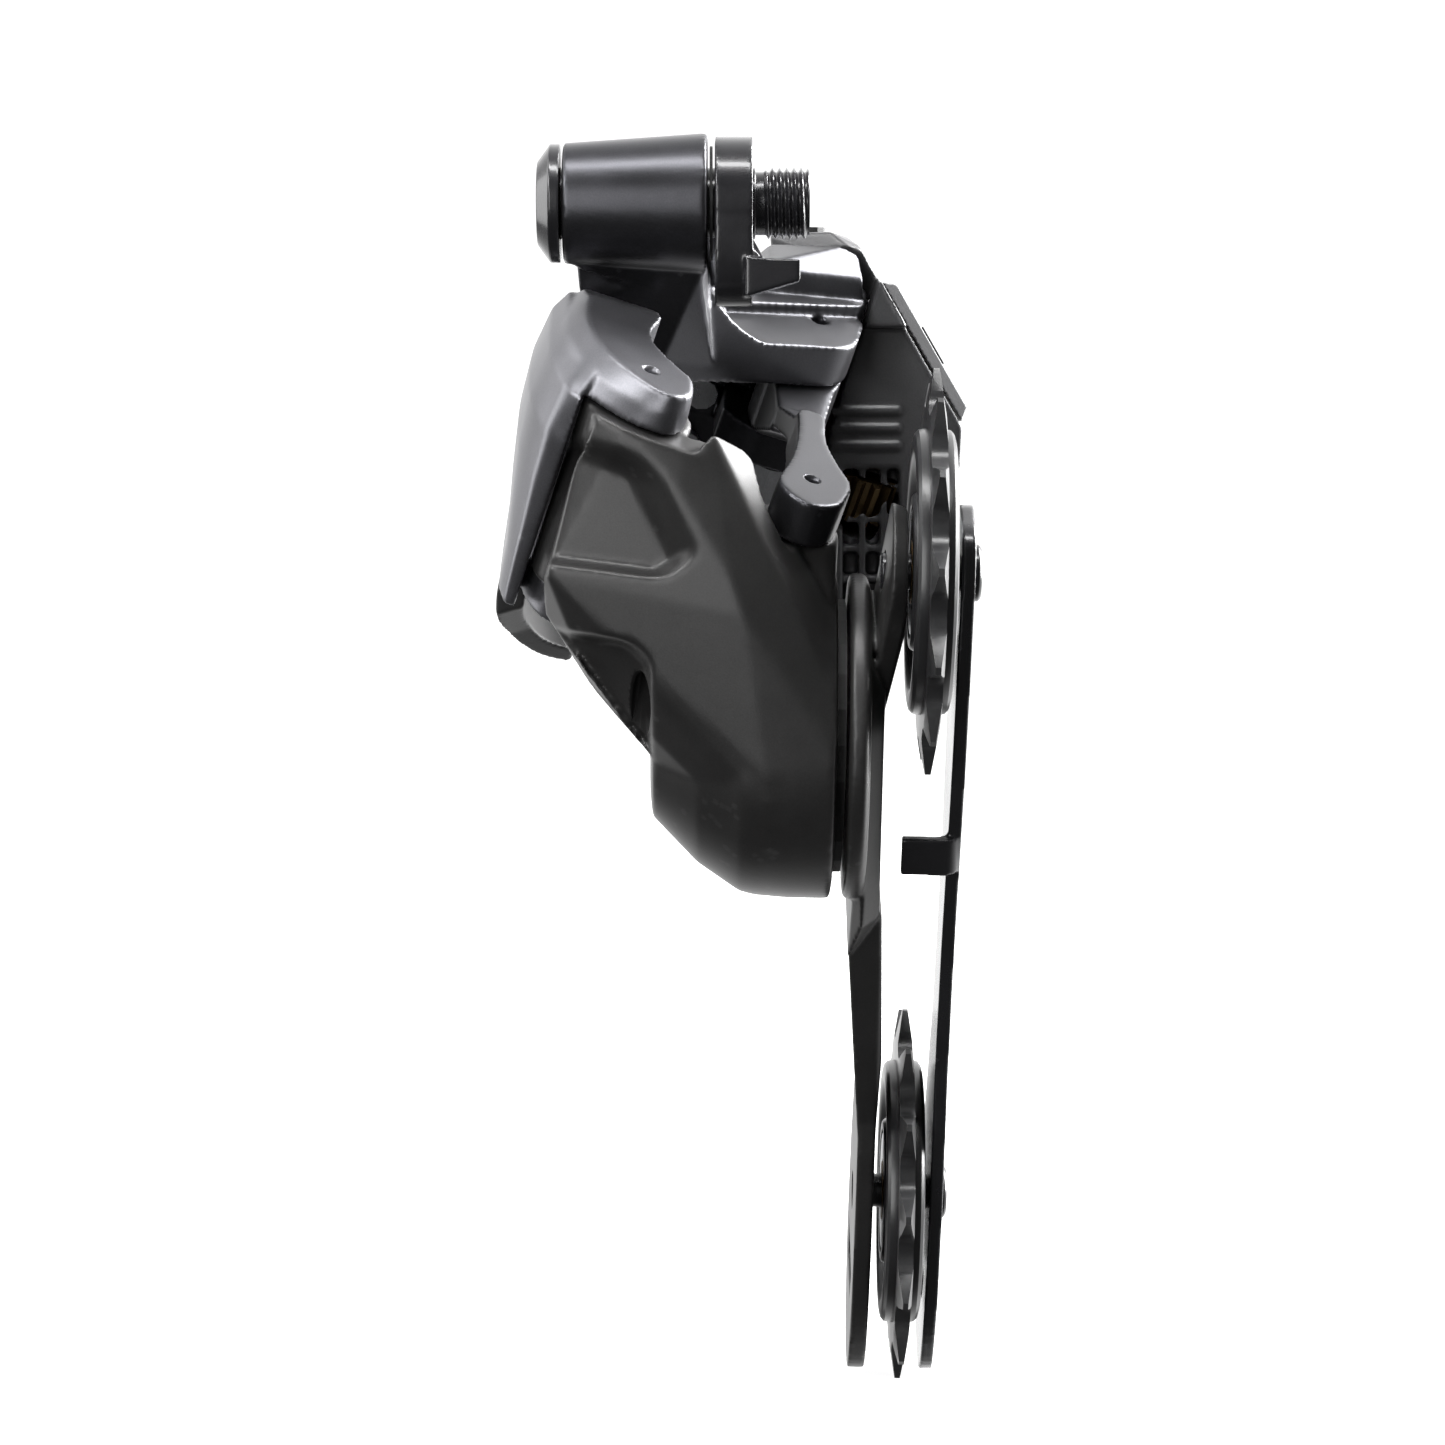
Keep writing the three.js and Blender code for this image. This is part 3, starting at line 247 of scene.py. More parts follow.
def eased(profile, reach=0.2, beside=1.6):
    """A profile for turned() with curved corners, and rings beside them that keep the flats flat."""
    points = [profile[0]]
    for before, here, after in zip(profile, profile[1:], profile[2:]):
        at = Vector(here)
        back, on = Vector(before) - at, Vector(after) - at
        r = min(reach, back.length / 4, on.length / 4)
        start, end = at + back.normalized() * r, at + on.normalized() * r
        points.append(tuple(at + back.normalized() * beside * r))
        points += curve(start, at, end, (0, 0.33, 0.67, 1))
        points.append(tuple(at + on.normalized() * beside * r))
    return points + [profile[-1]]


def applied(obj):
    bpy.context.view_layer.update()
    graph = bpy.context.evaluated_depsgraph_get()
    mesh = bpy.data.meshes.new_from_object(obj.evaluated_get(graph))
    before = obj.data
    obj.modifiers.clear()
    obj.data = mesh
    bpy.data.meshes.remove(before)


def combine(base, tools, operation):
    for tool in tools:
        step = base.modifiers.new("step", "BOOLEAN")
        step.operation = operation
        step.solver = "MANIFOLD"
        step.object = tool
        applied(base)
        bpy.data.objects.remove(tool)
    return base


def joined(base, *tools):
    return combine(base, tools, "UNION")


def cut(base, *tools):
    """Takes the tools away from the base, joined first so that a fine base is cut only once."""
    return combine(base, [combine(tools[0], tools[1:], "UNION")], "DIFFERENCE")


def cast(obj, voxel=0.4, ease=8, factor=0.5):
    """Remeshes a solid evenly and eases its edges, as a casting or a moulding has them."""
    even = obj.modifiers.new("even", "REMESH")
    even.mode = "VOXEL"
    even.voxel_size = voxel * MM
    soft = obj.modifiers.new("soft", "SMOOTH")
    soft.factor = factor
    soft.iterations = ease
    applied(obj)
    smooth(obj)
    return obj


def smooth(obj, angle=None):
    for face in obj.data.polygons:
        face.use_smooth = True
    if angle is not None:
        obj.data.set_sharp_from_angle(angle=math.radians(angle))
    return obj


# ---------- materials ----------
def ramp(nodes, *stops):
    made = nodes.new("ShaderNodeValToRGB")
    for element, (position, colour) in zip(made.color_ramp.elements, stops):
        element.position = position
        element.color = (*colour, 1)
    return made


def material(
    name, colour, metallic=0.0, roughness=0.4, rough_spread=0.06, grain=3000.0, grain_depth=0.02,
    mottle=0.12, wear_and_edge_highlight=0.0, wear_and_highlight_colour=(0.5, 0.5, 0.5), coat=0.0, brushed=None,
):
    """A procedural finish: fine grain in the bump, slow mottling in colour and roughness, worn edges that
    also carry a painted edge highlight.
    """
    made = bpy.data.materials.new(name)
    made.use_nodes = True
    tree = made.node_tree
    nodes, wires = tree.nodes, tree.links
    shader = nodes["Principled BSDF"]
    shader.inputs["Metallic"].default_value = metallic
    shader.inputs["Coat Weight"].default_value = coat
    shader.inputs["Coat Roughness"].default_value = 0.08
    place = nodes.new("ShaderNodeTexCoord")
    grain_map = nodes.new("ShaderNodeMapping")
    grain_map.inputs["Scale"].default_value = brushed or (1, 1, 1)
    wires.new(place.outputs["Object"], grain_map.inputs["Vector"])
    fine = nodes.new("ShaderNodeTexNoise")
    fine.inputs["Scale"].default_value = grain
    fine.inputs["Detail"].default_value = 4
    wires.new(grain_map.outputs["Vector"], fine.inputs["Vector"])
    slow = nodes.new("ShaderNodeTexNoise")
    slow.inputs["Scale"].default_value = 90
    slow.inputs["Detail"].default_value = 5
    slow.inputs["Roughness"].default_value = 0.6
    wires.new(place.outputs["Object"], slow.inputs["Vector"])
    dark = tuple(c * (1 - mottle) for c in colour)
    light = tuple(min(1.0, c * (1 + mottle)) for c in colour)
    tint = ramp(nodes, (0.35, dark), (0.65, light))
    wires.new(slow.outputs["Fac"], tint.inputs["Fac"])
    speck = nodes.new("ShaderNodeMix")
    speck.data_type = "RGBA"
    speck.blend_type = "OVERLAY"
    speck.inputs["Factor"].default_value = 0.25
    wires.new(tint.outputs["Color"], speck.inputs["A"])
    wires.new(fine.outputs["Fac"], speck.inputs["B"])
    colour_out = speck.outputs["Result"]
    rough = nodes.new("ShaderNodeMapRange")
    rough.inputs["To Min"].default_value = max(0.03, roughness - rough_spread)
    rough.inputs["To Max"].default_value = min(1.0, roughness + rough_spread)
    wires.new(slow.outputs["Fac"], rough.inputs["Value"])
    wires.new(rough.outputs["Result"], shader.inputs["Roughness"])
    # Paler colour on pointy edges: partly edge wear, partly a painted highlight along the edges
    if wear_and_edge_highlight > 0:
        shape = nodes.new("ShaderNodeNewGeometry")
        edge = nodes.new("ShaderNodeMapRange")
        edge.inputs["From Min"].default_value = 0.53
        edge.inputs["From Max"].default_value = 0.62
        edge.inputs["To Max"].default_value = wear_and_edge_highlight
        wires.new(shape.outputs["Pointiness"], edge.inputs["Value"])
        rub_and_highlight = nodes.new("ShaderNodeMath")
        rub_and_highlight.operation = "MULTIPLY"
        wires.new(edge.outputs["Result"], rub_and_highlight.inputs[0])
        wires.new(slow.outputs["Fac"], rub_and_highlight.inputs[1])
        wear_and_highlight_mix = nodes.new("ShaderNodeMix")
        wear_and_highlight_mix.data_type = "RGBA"
        wear_and_highlight_mix.inputs["B"].default_value = (*wear_and_highlight_colour, 1)
        wires.new(rub_and_highlight.outputs["Value"], wear_and_highlight_mix.inputs["Factor"])
        wires.new(colour_out, wear_and_highlight_mix.inputs["A"])
        colour_out = wear_and_highlight_mix.outputs["Result"]
    wires.new(colour_out, shader.inputs["Base Color"])
    bump = nodes.new("ShaderNodeBump")
    bump.inputs["Strength"].default_value = 0.6
    bump.inputs["Distance"].default_value = grain_depth * MM
    wires.new(fine.outputs["Fac"], bump.inputs["Height"])
    wires.new(bump.outputs["Normal"], shader.inputs["Normal"])
    return made


LOOKS = {
    "satin_grey_alloy": dict(
        colour=(0.12, 0.12, 0.13), metallic=0.85, roughness=0.38, grain=5200, grain_depth=0.012,
        mottle=0.07, wear_and_edge_highlight=0.35, wear_and_highlight_colour=(0.4, 0.4, 0.42)),
    # A darker copy of satin_grey_alloy: painted shade for the bracket and the inner link, which are made of
    # the outer link's alloy
    "shaded_satin_alloy": dict(
        colour=(0.05, 0.05, 0.055), metallic=0.9, roughness=0.33, grain=5200, grain_depth=0.012,
        mottle=0.08, wear_and_edge_highlight=0.3, wear_and_highlight_colour=(0.3, 0.3, 0.32)),
    "gloss_black_steel": dict(
        colour=(0.014, 0.014, 0.016), metallic=0.2, roughness=0.26, rough_spread=0.05, grain=4000,
        grain_depth=0.004, mottle=0.2, coat=0.2, wear_and_edge_highlight=0.25, wear_and_highlight_colour=(0.2, 0.2, 0.22)),
    "cast_black_alloy": dict(
        colour=(0.026, 0.0255, 0.0255), metallic=0.4, roughness=0.4, grain=4200, grain_depth=0.014,
        mottle=0.12, wear_and_edge_highlight=0.25, wear_and_highlight_colour=(0.12, 0.12, 0.12)),
    "matt_black_resin": dict(
        colour=(0.018, 0.018, 0.0185), roughness=0.55, grain=3000, grain_depth=0.03, mottle=0.15),
    "case_resin": dict(
        colour=(0.045, 0.045, 0.047), metallic=0.2, roughness=0.38, grain=3600, grain_depth=0.02,
        mottle=0.1, wear_and_edge_highlight=0.2, wear_and_highlight_colour=(0.25, 0.25, 0.25)),
    "pulley_resin": dict(
        colour=(0.014, 0.014, 0.015), roughness=0.3, grain=2600, grain_depth=0.012, mottle=0.2, wear_and_edge_highlight=0.3,
        wear_and_highlight_colour=(0.1, 0.1, 0.1)),
    "plain_steel": dict(
        colour=(0.5, 0.51, 0.53), metallic=1.0, roughness=0.28, grain=1800, grain_depth=0.006, mottle=0.12,
        brushed=(6, 1, 1)),
    "bush_bronze": dict(
        colour=(0.16, 0.11, 0.055), metallic=1.0, roughness=0.4, grain=2600, grain_depth=0.02, mottle=0.2),
    "seal_rubber": dict(
        colour=(0.012, 0.012, 0.012), roughness=0.7, grain=2200, grain_depth=0.03, mottle=0.2),
    "lens_plastic": dict(
        colour=(0.02, 0.03, 0.028), roughness=0.12, grain=900, grain_depth=0.003, mottle=0.15, coat=0.6),
}
FINISH = {name: material(name, **look) for name, look in LOOKS.items()}
for node_object in frame["nodes"].values():
    for painted in node_object.material_slots:
        if painted.material:
            plain_name = painted.material.name.split(".")[0]
            painted.material = FINISH.get(plain_name, painted.material)


def piece(name, obj, body, slot, *nodes, finish=None):
    """Names a finished mesh, paints it, and makes it ride on its body in place of its CAD nodes."""
    obj.name = name
    obj.data.name = name
    obj.data.materials.clear()
    obj.data.materials.append(FINISH[finish or slot])
    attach(obj, body)
    if nodes:
        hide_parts(*nodes)


# ---------- hanger bolt, stop plate ----------
BOLT_R = 4.9
HEAD_R = 8.2
THREAD = {"root": 4.35, "crest": 4.98, "pitch": 1}
TUBE = {"outer": -26.2, "inner": -6.2, "r_outer": 8.3, "r_inner": 9.7, "bore": 6.3, "plate_room": 15.9}
STOP_PLATE = 5.2
SCREW = {"x": -2.8, "z": -6, "bore": 2.2, "head_room": 3.3, "boss_r": 3.5}


def thread(root, crest, pitch, start, end, facets=72, per_turn=14):
    """A screw thread along x: one helical ridge that runs out at both ends."""
    rows = int((end - start) / pitch * per_turn)
    points, faces = [(start - 0.5, 0, 0)], []
    for i in range(rows + 1):
        x = start + (end - start) * i / rows
        fade = min(1, (x - start) / (0.8 * pitch), (end - x) / (0.3 * pitch) + 0.25)
        for k in range(facets):
            share = k / facets
            turn = 2 * math.pi * share
            phase = (x / pitch - share) % 1
            ridge = max(0, 1 - abs(phase - 0.5) * 2.5)
            r = root + (crest - root) * ridge * max(0, fade)
            points.append((x, r * math.cos(turn), r * math.sin(turn)))
    points.append((end, 0, 0))
    last = len(points) - 1
    for k in range(facets):
        n = (k + 1) % facets
        faces.append([0, 1 + n, 1 + k])
        for i in range(rows):
            a = 1 + i * facets
            faces.append([a + k, a + n, a + facets + n, a + facets + k])
        faces.append([last, last - facets + k, last - facets + n])
    return mesh_object("thread", points, faces)


def hex_socket(across_flats, low, high):
    return rod_x(across_flats / math.sqrt(3), low, high, facets=6)


def make_hanger_bolt():
    root = THREAD["root"]
    head = turned(eased([
        (-29.8, 0), (-29.8, 5.7), (-28.0, HEAD_R), (-26.6, HEAD_R), (-26.6, BOLT_R), (0.4, BOLT_R),
        (0.4, root), (2, root), (2, 0),
    ]))
    screw = thread(**THREAD, start=1.5, end=7.9)
    return smooth(cut(joined(head, screw), hex_socket(5, -30, -25.5)), 32)


def make_stop_plate():
    ring = turned([(-STOP_PLATE, 0), (-STOP_PLATE, 9.2), (0, 9.2), (0, 0)])
    tail = prism(
        rounded([
            (-9.1, 0), (-8.6, -8, 3), (-7.4, -12, 3), (-4, -14.4, 3), (-1.5, -14.3, 2), (0.5, -10, 2),
            (4, -4), (4, 0),
        ]),
        -STOP_PLATE, 0, UP_X,
    )
    tab = hull([
        (-1, -9, -7.8), (-1, -3.5, -7.8), (6.5, -9, -8.1), (6.5, -3.5, -8.1), (6.5, -9, -11),
        (6.5, -3.5, -11), (-1, -9, -13.2), (-1, -3.5, -13.2),
    ])
    gusset = hull([
        (-0.5, -8.4, -6), (-0.5, -4, -4), (-0.5, -8.4, -13), (-0.5, -4, -13), (2, -8, -8.6), (2, -4.4, -8.6),
        (2, -8, -11.8), (2, -4.4, -11.8),
    ])
    heel = block((-STOP_PLATE, -0.6), (2, 9.6), (-9, -3))
    body = joined(ring, tail, tab, gusset, heel)
    cast(body, voxel=0.24, ease=5)
    return cut(body, rod_x(BOLT_R + 0.3, -9, 3, facets=FACETS))


piece("hanger_screw", make_hanger_bolt(), "hanger_side", "gloss_black_steel", "hanger_bolt")
piece("seat_plate", smooth(make_stop_plate()), "hanger_side", "gloss_black_steel", "stop_plate")

# ---------- bracket ----------
Z = {
    "ear_bottom": -5.6, "bracket_top": -7.5, "bracket_bottom": -14, "rear_top": -14.4,
    "inner_ear_top": -8.5, "inner_ear_bottom": -15, "inner_rear_bottom": -24.4,
    "inner_lower_top": -24.8, "inner_lower_bottom": -30.5, "knuckle_top": -6, "knuckle_bottom": -32.6,
    "lug_top": -15.4, "lug_bottom": -26, "link_bottom_top": -33, "link_bottom": -38,
    "outer_lower_top": -38.4, "outer_lower_bottom": -43,
}
BRACKET_REAR = 67.3
CASE_SCREWS = (-18, -27, -36)
CASE_SCREW_X = 13
BORE_R = 3.1
EYE_R = 1.2
BELOW, ABOVE = -60, 9


def pin_bore(pin, top, r=BORE_R):
    """Room for a link's pin, or the small eye above it, from below the linkage up to a height."""
    return rod(r, BELOW, top, PINS[pin], LINK)


def along_y(x, z, matrix=WORLD):
    """A frame at (x, z) whose x runs to the rear."""
    return matrix @ Matrix.Translation((x, 0, z)) @ Matrix.Rotation(math.pi / 2, 4, "Z")


def wedge(start, end, r_in, r_out, low, high, at, steps=24):
    """A sector of a ring about a pin of the linkage, between two angles in radians."""
    angles = [start + (end - start) * k / steps for k in range(steps + 1)]
    sides = [(r_out, t) for t in angles] + [(r_in, t) for t in reversed(angles)]
    outline = [(at[0] + r * math.cos(t), at[1] + r * math.sin(t)) for r, t in sides]
    return prism(outline, low, high, LINK)


def link_points(*points):
    return [tuple(LINK @ Vector(p)) for p in points]


def make_bracket():
    tube = turned([
        (TUBE["outer"], 0), (TUBE["outer"], TUBE["r_outer"]), (TUBE["inner"], TUBE["r_inner"]),
        (TUBE["inner"], 0),
    ])
    low, high = Z["bracket_bottom"], Z["bracket_top"]
    outline = rounded([
        (-7.4, 33, 3), (3, 28.5, 4), (13, 36, 5), (31, 47, 4), (32.6, 60, 4), (20, 67.5, 3), (6, 67.5, 4),
        (-7.4, 60, 4),
    ])
    plate = prism(outline, low, high, LINK)
    under = []
    for x, r in ((-24.5, 8.1), (-7, 9.4)):
        for degrees in range(20, -103, -8):
            turn = math.radians(degrees)
            under.append((x, r * math.cos(turn), r * math.sin(turn)))
    neck = hull(under + link_points(
        (-7, 34, low), (-7, 56, low), (3, 29.5, low), (12, 36, low), (14, 56, low), (-6, 58, high),
        (12, 58, high),
    ))
    # Two steps rise behind the inboard pin, the upper one as a ridge; a curved web runs up into the neck
    step_outline = rounded([(10, 45.5, 1), (32.2, 60.2, 2), (32.2, 70, 2), (10, 70, 2)])
    step = prism(step_outline, low, high + 1.6, LINK)
    ridge = hull(
        link_points(
            (15, 53.4, -6.2), (31.7, 62.4, -6.2), (17.5, 55.6, -2.6), (30.6, 62.8, -2.8), (31.7, 70, low),
            (10, 70, low))
        + [(3, 44, -3), (15.8, 44, -3.2), (16, 44, -12), (3, 32, -6.5)])
    web_curve = rounded([
        (-9, -7, 1), (-6, -9, 1), (-5, -13, 3), (-2, -16.6, 4), (2.6, -19.3, 4), (8, -19.6, 1), (8, -23, 1),
        (-6, -23, 1),
    ])
    fillet = combine(prism(web_curve, -30, -8, UP_Y), [prism(outline, low, 20, LINK)], "INTERSECT")
    web = block((7, 20), (62.3, BRACKET_REAR), (Z["outer_lower_bottom"], high), LINK)
    lower_outer = prism(
        rounded([(-6.6, 48, 5), (6.6, 48, 4), (20, 62.4), (20, 67.2), (4, 67.2, 3), (-6.6, 58, 4)]),
        Z["outer_lower_bottom"], Z["outer_lower_top"], LINK,
    )
    lower_inner = prism(
        rounded([(19.5, 48.5, 4), (31.3, 48.5, 4), (31.3, 59, 4), (20, 67.2), (8, 67.2), (8, 62.4)]),
        Z["inner_lower_bottom"], Z["inner_lower_top"], LINK,
    )
    boss_r = SCREW["boss_r"]
    ring = [(SCREW["x"] + boss_r * math.cos(t), SCREW["z"] + boss_r * math.sin(t)) for t in around(24)]
    boss = hull(
        [(x, y, z) for y in (13, 21) for x, z in ring]
        + [(-12, 8, -2), (-12, 8, -14), (-12, 18, -18), (-12, 4, 0)])
    body = joined(tube, plate, neck, step, ridge, fillet, web, lower_outer, lower_inner, boss)
    along_screw = along_y(SCREW["x"], SCREW["z"])
    cut(
        body,
        rod_x(TUBE["plate_room"], TUBE["inner"], 5, facets=FACETS),
        rod_x(SCREW["bore"], -10, 30, along_screw),
        rod_x(SCREW["head_room"], 21.6, 33.6, along_screw),
        pin_bore("outer_rear", high - 1.6),
        pin_bore("inner_rear", high - 1.6),
        pin_bore("outer_rear", ABOVE, EYE_R),
        pin_bore("inner_rear", ABOVE, EYE_R),
        block((-8, 16), (28, 62), (Z["link_bottom"] - 0.3, low - 0.01), LINK),
        block((-60, 60), (BRACKET_REAR, 120), (-90, 40), LINK),
        wedge(1.1 * math.pi, 1.72 * math.pi, 28.7, 60, Z["rear_top"] - 1, 0.6, PINS["outer_rear"]),
    )
    cast(body, voxel=0.36, ease=6)
    return cut(body, rod_x(TUBE["bore"], -32, 3, facets=FACETS))


# The bracket wears the darker copy of its alloy, as painted shade
piece(
    "bracket_casting", smooth(make_bracket()), "bracket", "satin_grey_alloy", "bracket_body",
    finish="shaded_satin_alloy")


# ---------- outer link and its skid plate ----------
EAR_STEP = -2.6
SKID_SCREWS = {"x": -1.6, "y": (18, 35), "r": 1.6}


def skid_screw_bores(low, high):
    return [rod(SKID_SCREWS["r"], low, high, (SKID_SCREWS["x"], y), LINK, 24) for y in SKID_SCREWS["y"]]


def make_outer_link():
    # The ear's corners run from the rear along the inboard side, round the pin and back outboard of it
    inboard = [(0.15, 23.2, 1), (0.7, 18.9, 2), (-0.9, 13.8, 4), (0, 9, 4), (3.3, 4.2, 3)]
    ear = [
        (height, [rear] + inboard + outboard) for height, rear, outboard in (
            (Z["ear_bottom"], (-12.6, 25, 1), [
                (6.3, 1.6, 2), (6.7, -3.6, 2.5), (4.2, -7.4, 2.5), (0, -7, 3), (-5.4, -4.2, 3),
                (-9.8, 0, 4), (-12.9, 8, 5), (-13.8, 17, 6)]),
            (EAR_STEP, (-11.4, 25, 1), [
                (6.2, 1.5, 2), (6.4, -3.9, 2.5), (4.1, -7.3, 2.5), (0.3, -6.5, 3), (-4.9, -2.9, 3),
                (-8.9, 1.6, 4), (-11.6, 8.8, 5), (-12.3, 17, 6)]),
            (0, (-9.25, 25, 1), [
                (5.9, 1.4, 2), (6.1, -4, 2.5), (3.8, -6.8, 2.5), (0.5, -5.4, 3), (-4, -1.2, 3),
                (-7.2, 3.6, 4), (-9.3, 9.3, 5), (-9.9, 16.9, 6)]),
        )
    ]
    # The wall's run from the front edge to the rear on the outboard side, and forward on the inboard side
    rear_end = [(-8, 58, 3), (-7.2, 50, 3)]
    wall = [
        (height, outboard + rear_end + back) for height, outboard, back in (
            (Z["link_bottom"],
             [(-7.9, -3.8, 0.4), (-9.4, -3.8, 1), (-10.6, 0, 4), (-11, 16, 6), (-11.1, 28, 6),
              (-11.4, 42, 6)],
             [(-8.8, 40, 6), (-8.7, 24, 6), (-8.4, 7, 4)]),
            (-32,
             [(-7.9, -3.8, 0.4), (-9.8, -3.8, 1), (-11.2, 0.5, 4), (-11.9, 16, 6), (-12, 28, 6),
              (-12, 42, 6)],
             [(-9, 40, 6), (-8.9, 24, 6), (-8.4, 7, 4)]),
            (-26,
             [(-7.9, -3.8, 0.4), (-10.1, -3.6, 1.5), (-12.2, 2, 5), (-13.2, 16, 6), (-13.2, 28, 6),
              (-12.8, 42, 6)],
             [(-9.2, 40, 6), (-9.2, 24, 6), (-8.4, 7, 4)]),
            (-19,
             [(-7.9, -3.8, 0.5), (-10.6, -3.2, 1.5), (-13.3, 4, 5), (-14.5, 16, 6),
              (-14.4, 28, 6), (-13, 42, 6)],
             [(-9.4, 40, 6), (-9.6, 24, 6), (-8.5, 7, 4)]),
            (-12,
             [(-7.9, -3.8, 0.5), (-10.8, -2.9, 1.5), (-13.8, 5, 5), (-15, 16, 6), (-14.7, 28, 6),
              (-13, 42, 6)],
             [(-9.4, 40, 6), (-9.8, 24, 6), (-8.5, 7, 4)]),
            (Z["ear_bottom"],
             [(-7.9, -3.8, 0.5), (-10.3, -1.6, 1.5), (-13, 7, 5), (-13.9, 17, 6), (-14, 28, 6),
              (-13, 42, 6)],
             [(-9.4, 40, 6), (-9.8, 24, 6), (-8.5, 7, 4)]),
            (EAR_STEP,
             [(-7, -1, 0.6), (-8.8, 1.8, 1.5), (-11.4, 8.8, 5), (-12.2, 17, 6), (-12.3, 28, 6),
              (-12, 42, 6)],
             [(-9.4, 40, 6), (-9.8, 24, 6), (-7, 7, 4)]),
        )
    ]
    rear_boss = rounded([(-9, 44, 2), (4, 46.6, 4), (7.2, 52, 4), (4.6, 61, 5), (-5, 61.4, 5), (-9, 57, 3)])
    lower_ear = rounded([
        (-9.6, 10, 2), (-6.4, -2, 3), (-3, -6, 4), (5.5, -5, 4), (5.5, 4, 4), (-1, 8, 3), (1.4, 14, 3),
        (1.4, 39, 3), (-9.8, 39, 1),
    ])
    front = cut(
        lofted(wall, LINK),
        block((-20, 10), (25, 70), (Z["rear_top"], 10), LINK),
    )
    body = joined(
        front,
        lofted(ear, LINK),
        prism(rear_boss, Z["link_bottom"], Z["rear_top"], LINK),
        prism(lower_ear, Z["link_bottom"], Z["link_bottom_top"], LINK),
    )
    tube_slope = ((19, 0.01), (26, -1.9), (26, 4), (19, 4))
    cut(body, hull([(x, y, z) for x in (-20, 6) for y, z in tube_slope], LINK))
    cast(body, voxel=0.36, ease=7)
    return cut(
        body,
        pin_bore("outer_front", -1.6),
        pin_bore("outer_front", ABOVE, EYE_R),
        pin_bore("outer_rear", ABOVE),
        *skid_screw_bores(BELOW, Z["link_bottom_top"] - 0.3),
    )


def make_skid_plate():
    top = Z["link_bottom"] - 0.3
    section = rounded([
        (-10.4, top), (-10.2, -43, 4), (-8.6, -48.4, 4), (-5.4, -53, 4), (-0.6, -56.2, 3), (4, -56.6, 1),
        (3.6, -53.6, 1), (-0.4, -52.8, 3), (-3.6, -50, 3), (-5.6, -46, 3), (-6.4, top),
    ])
    shell = joined(
        prism(section, -42, -8, LINK @ UP_Y),
        block((-8, 1), (12, 41), (-41, top), LINK),
    )
    nose = hull([
        (6, 4, -60), (6, 24, -60), (6, 4, -38), (-16, 4, -60), (-16, 16, -60), (-16, 4, -46), (6, 14, -42),
    ], LINK)
    cut(shell, nose)
    cast(shell, voxel=0.34, ease=6)
    return cut(shell, *skid_screw_bores(-45, -30))


piece("outboard_link", smooth(make_outer_link()), "outer_link", "satin_grey_alloy", "outer_link")
piece("skid_guard", smooth(make_skid_plate()), "outer_link", "matt_black_resin", "skid_plate")


# ---------- inner link ----------
def make_inner_link():
    top, bottom = Z["inner_ear_top"], Z["inner_ear_bottom"]
    front = rounded([
        (22, -6.5, 3), (25.4, -8.6, 2), (29.6, -6, 3), (31.4, 2, 3), (28.8, 8, 4), (27, 15, 5),
        (27.2, 23, 3), (23, 23, 2), (23.2, 14, 5), (22.6, 6, 5), (20.4, -3, 3),
    ])
    rear = Z["rear_top"]
    arm = hull([
        (23, 20, top - 0.4), (27.2, 20, top - 0.4), (23, 20, bottom + 2), (27.2, 20, bottom + 2),
        (21.6, 35, rear), (28.8, 35, rear), (21.6, 37, rear - 4), (28.8, 37, rear - 4),
    ], LINK)
    boss = prism(
        rounded([(20.6, 46, 2), (30.2, 46, 2), (31.8, 54, 5), (28, 60.4, 4), (22.5, 60.4, 4), (19, 54, 5)]),
        Z["inner_rear_bottom"], rear, LINK,
    )
    heel = hull(
        [(x, 34.4, z) for x in (21.6, 28.8) for z in (rear, rear - 4)]
        + [(x, 47, z) for x in (20.6, 30.2) for z in (rear, Z["inner_rear_bottom"])], LINK)
    body = joined(prism(front, bottom, top, LINK), arm, heel, boss)
    cast(body, voxel=0.3, ease=16)
    return cut(
        body,
        pin_bore("inner_front", top - 1.6),
        pin_bore("inner_front", ABOVE, EYE_R),
        pin_bore("inner_rear", 0),
    )


# The inner link wears the darker copy of its alloy, as painted shade
piece(
    "inboard_link", smooth(make_inner_link()), "inner_link", "satin_grey_alloy", "inner_link",
    finish="shaded_satin_alloy")


# ---------- knuckle ----------
DRUM_R = 22.6
LUG_R = 7.6


def drum_ring(x, r, degrees):
    """Points on a circle about the cage axle, at the given angles up from the rear."""
    at = AXLE.translation
    turns = [math.radians(d) for d in degrees]
    return [(x, at.y + r * math.cos(t), at.z + r * math.sin(t)) for t in turns]


def pushed_back(obj, corners, depth, still=None):
    """Presses a convex area of the front in, to the rear.

    A corner is (x, z, width of the slope along the side that starts there). Only what faces the front
    moves; or, given the y where the piece stands still, all that lies before it.
    """
    count = len(obj.data.vertices)
    at = np.empty(count * 3, np.float32)
    obj.data.vertices.foreach_get("co", at)
    at = at.reshape(-1, 3)
    facing = np.empty(count * 3, np.float32)
    obj.data.vertex_normals.foreach_get("vector", facing)
    facing = -facing.reshape(-1, 3)[:, 1]
    flat = at[:, [0, 2]] / MM
    middle = np.mean([c[:2] for c in corners], axis=0)
    if still is None:
        share = ease_in(facing, 0.05, 0.5)
    else:
        share = ease_in(still - at[:, 1] / MM, 0, 8)
    for i, (x, z, width) in enumerate(corners):
        side = np.subtract(corners[(i + 1) % len(corners)][:2], (x, z))
        inward = np.array((-side[1], side[0])) / np.linalg.norm(side)
        if (middle - (x, z)) @ inward < 0:
            inward = -inward
        share *= ease_in((flat - (x, z)) @ inward, 0, width)
    at[:, 1] += depth * share * MM
    obj.data.vertices.foreach_set("co", at.ravel())
    obj.data.update()


def ease_in(values, low, high):
    t = np.clip((values - low) / (high - low), 0, 1)
    return t * t * (3 - 2 * t)


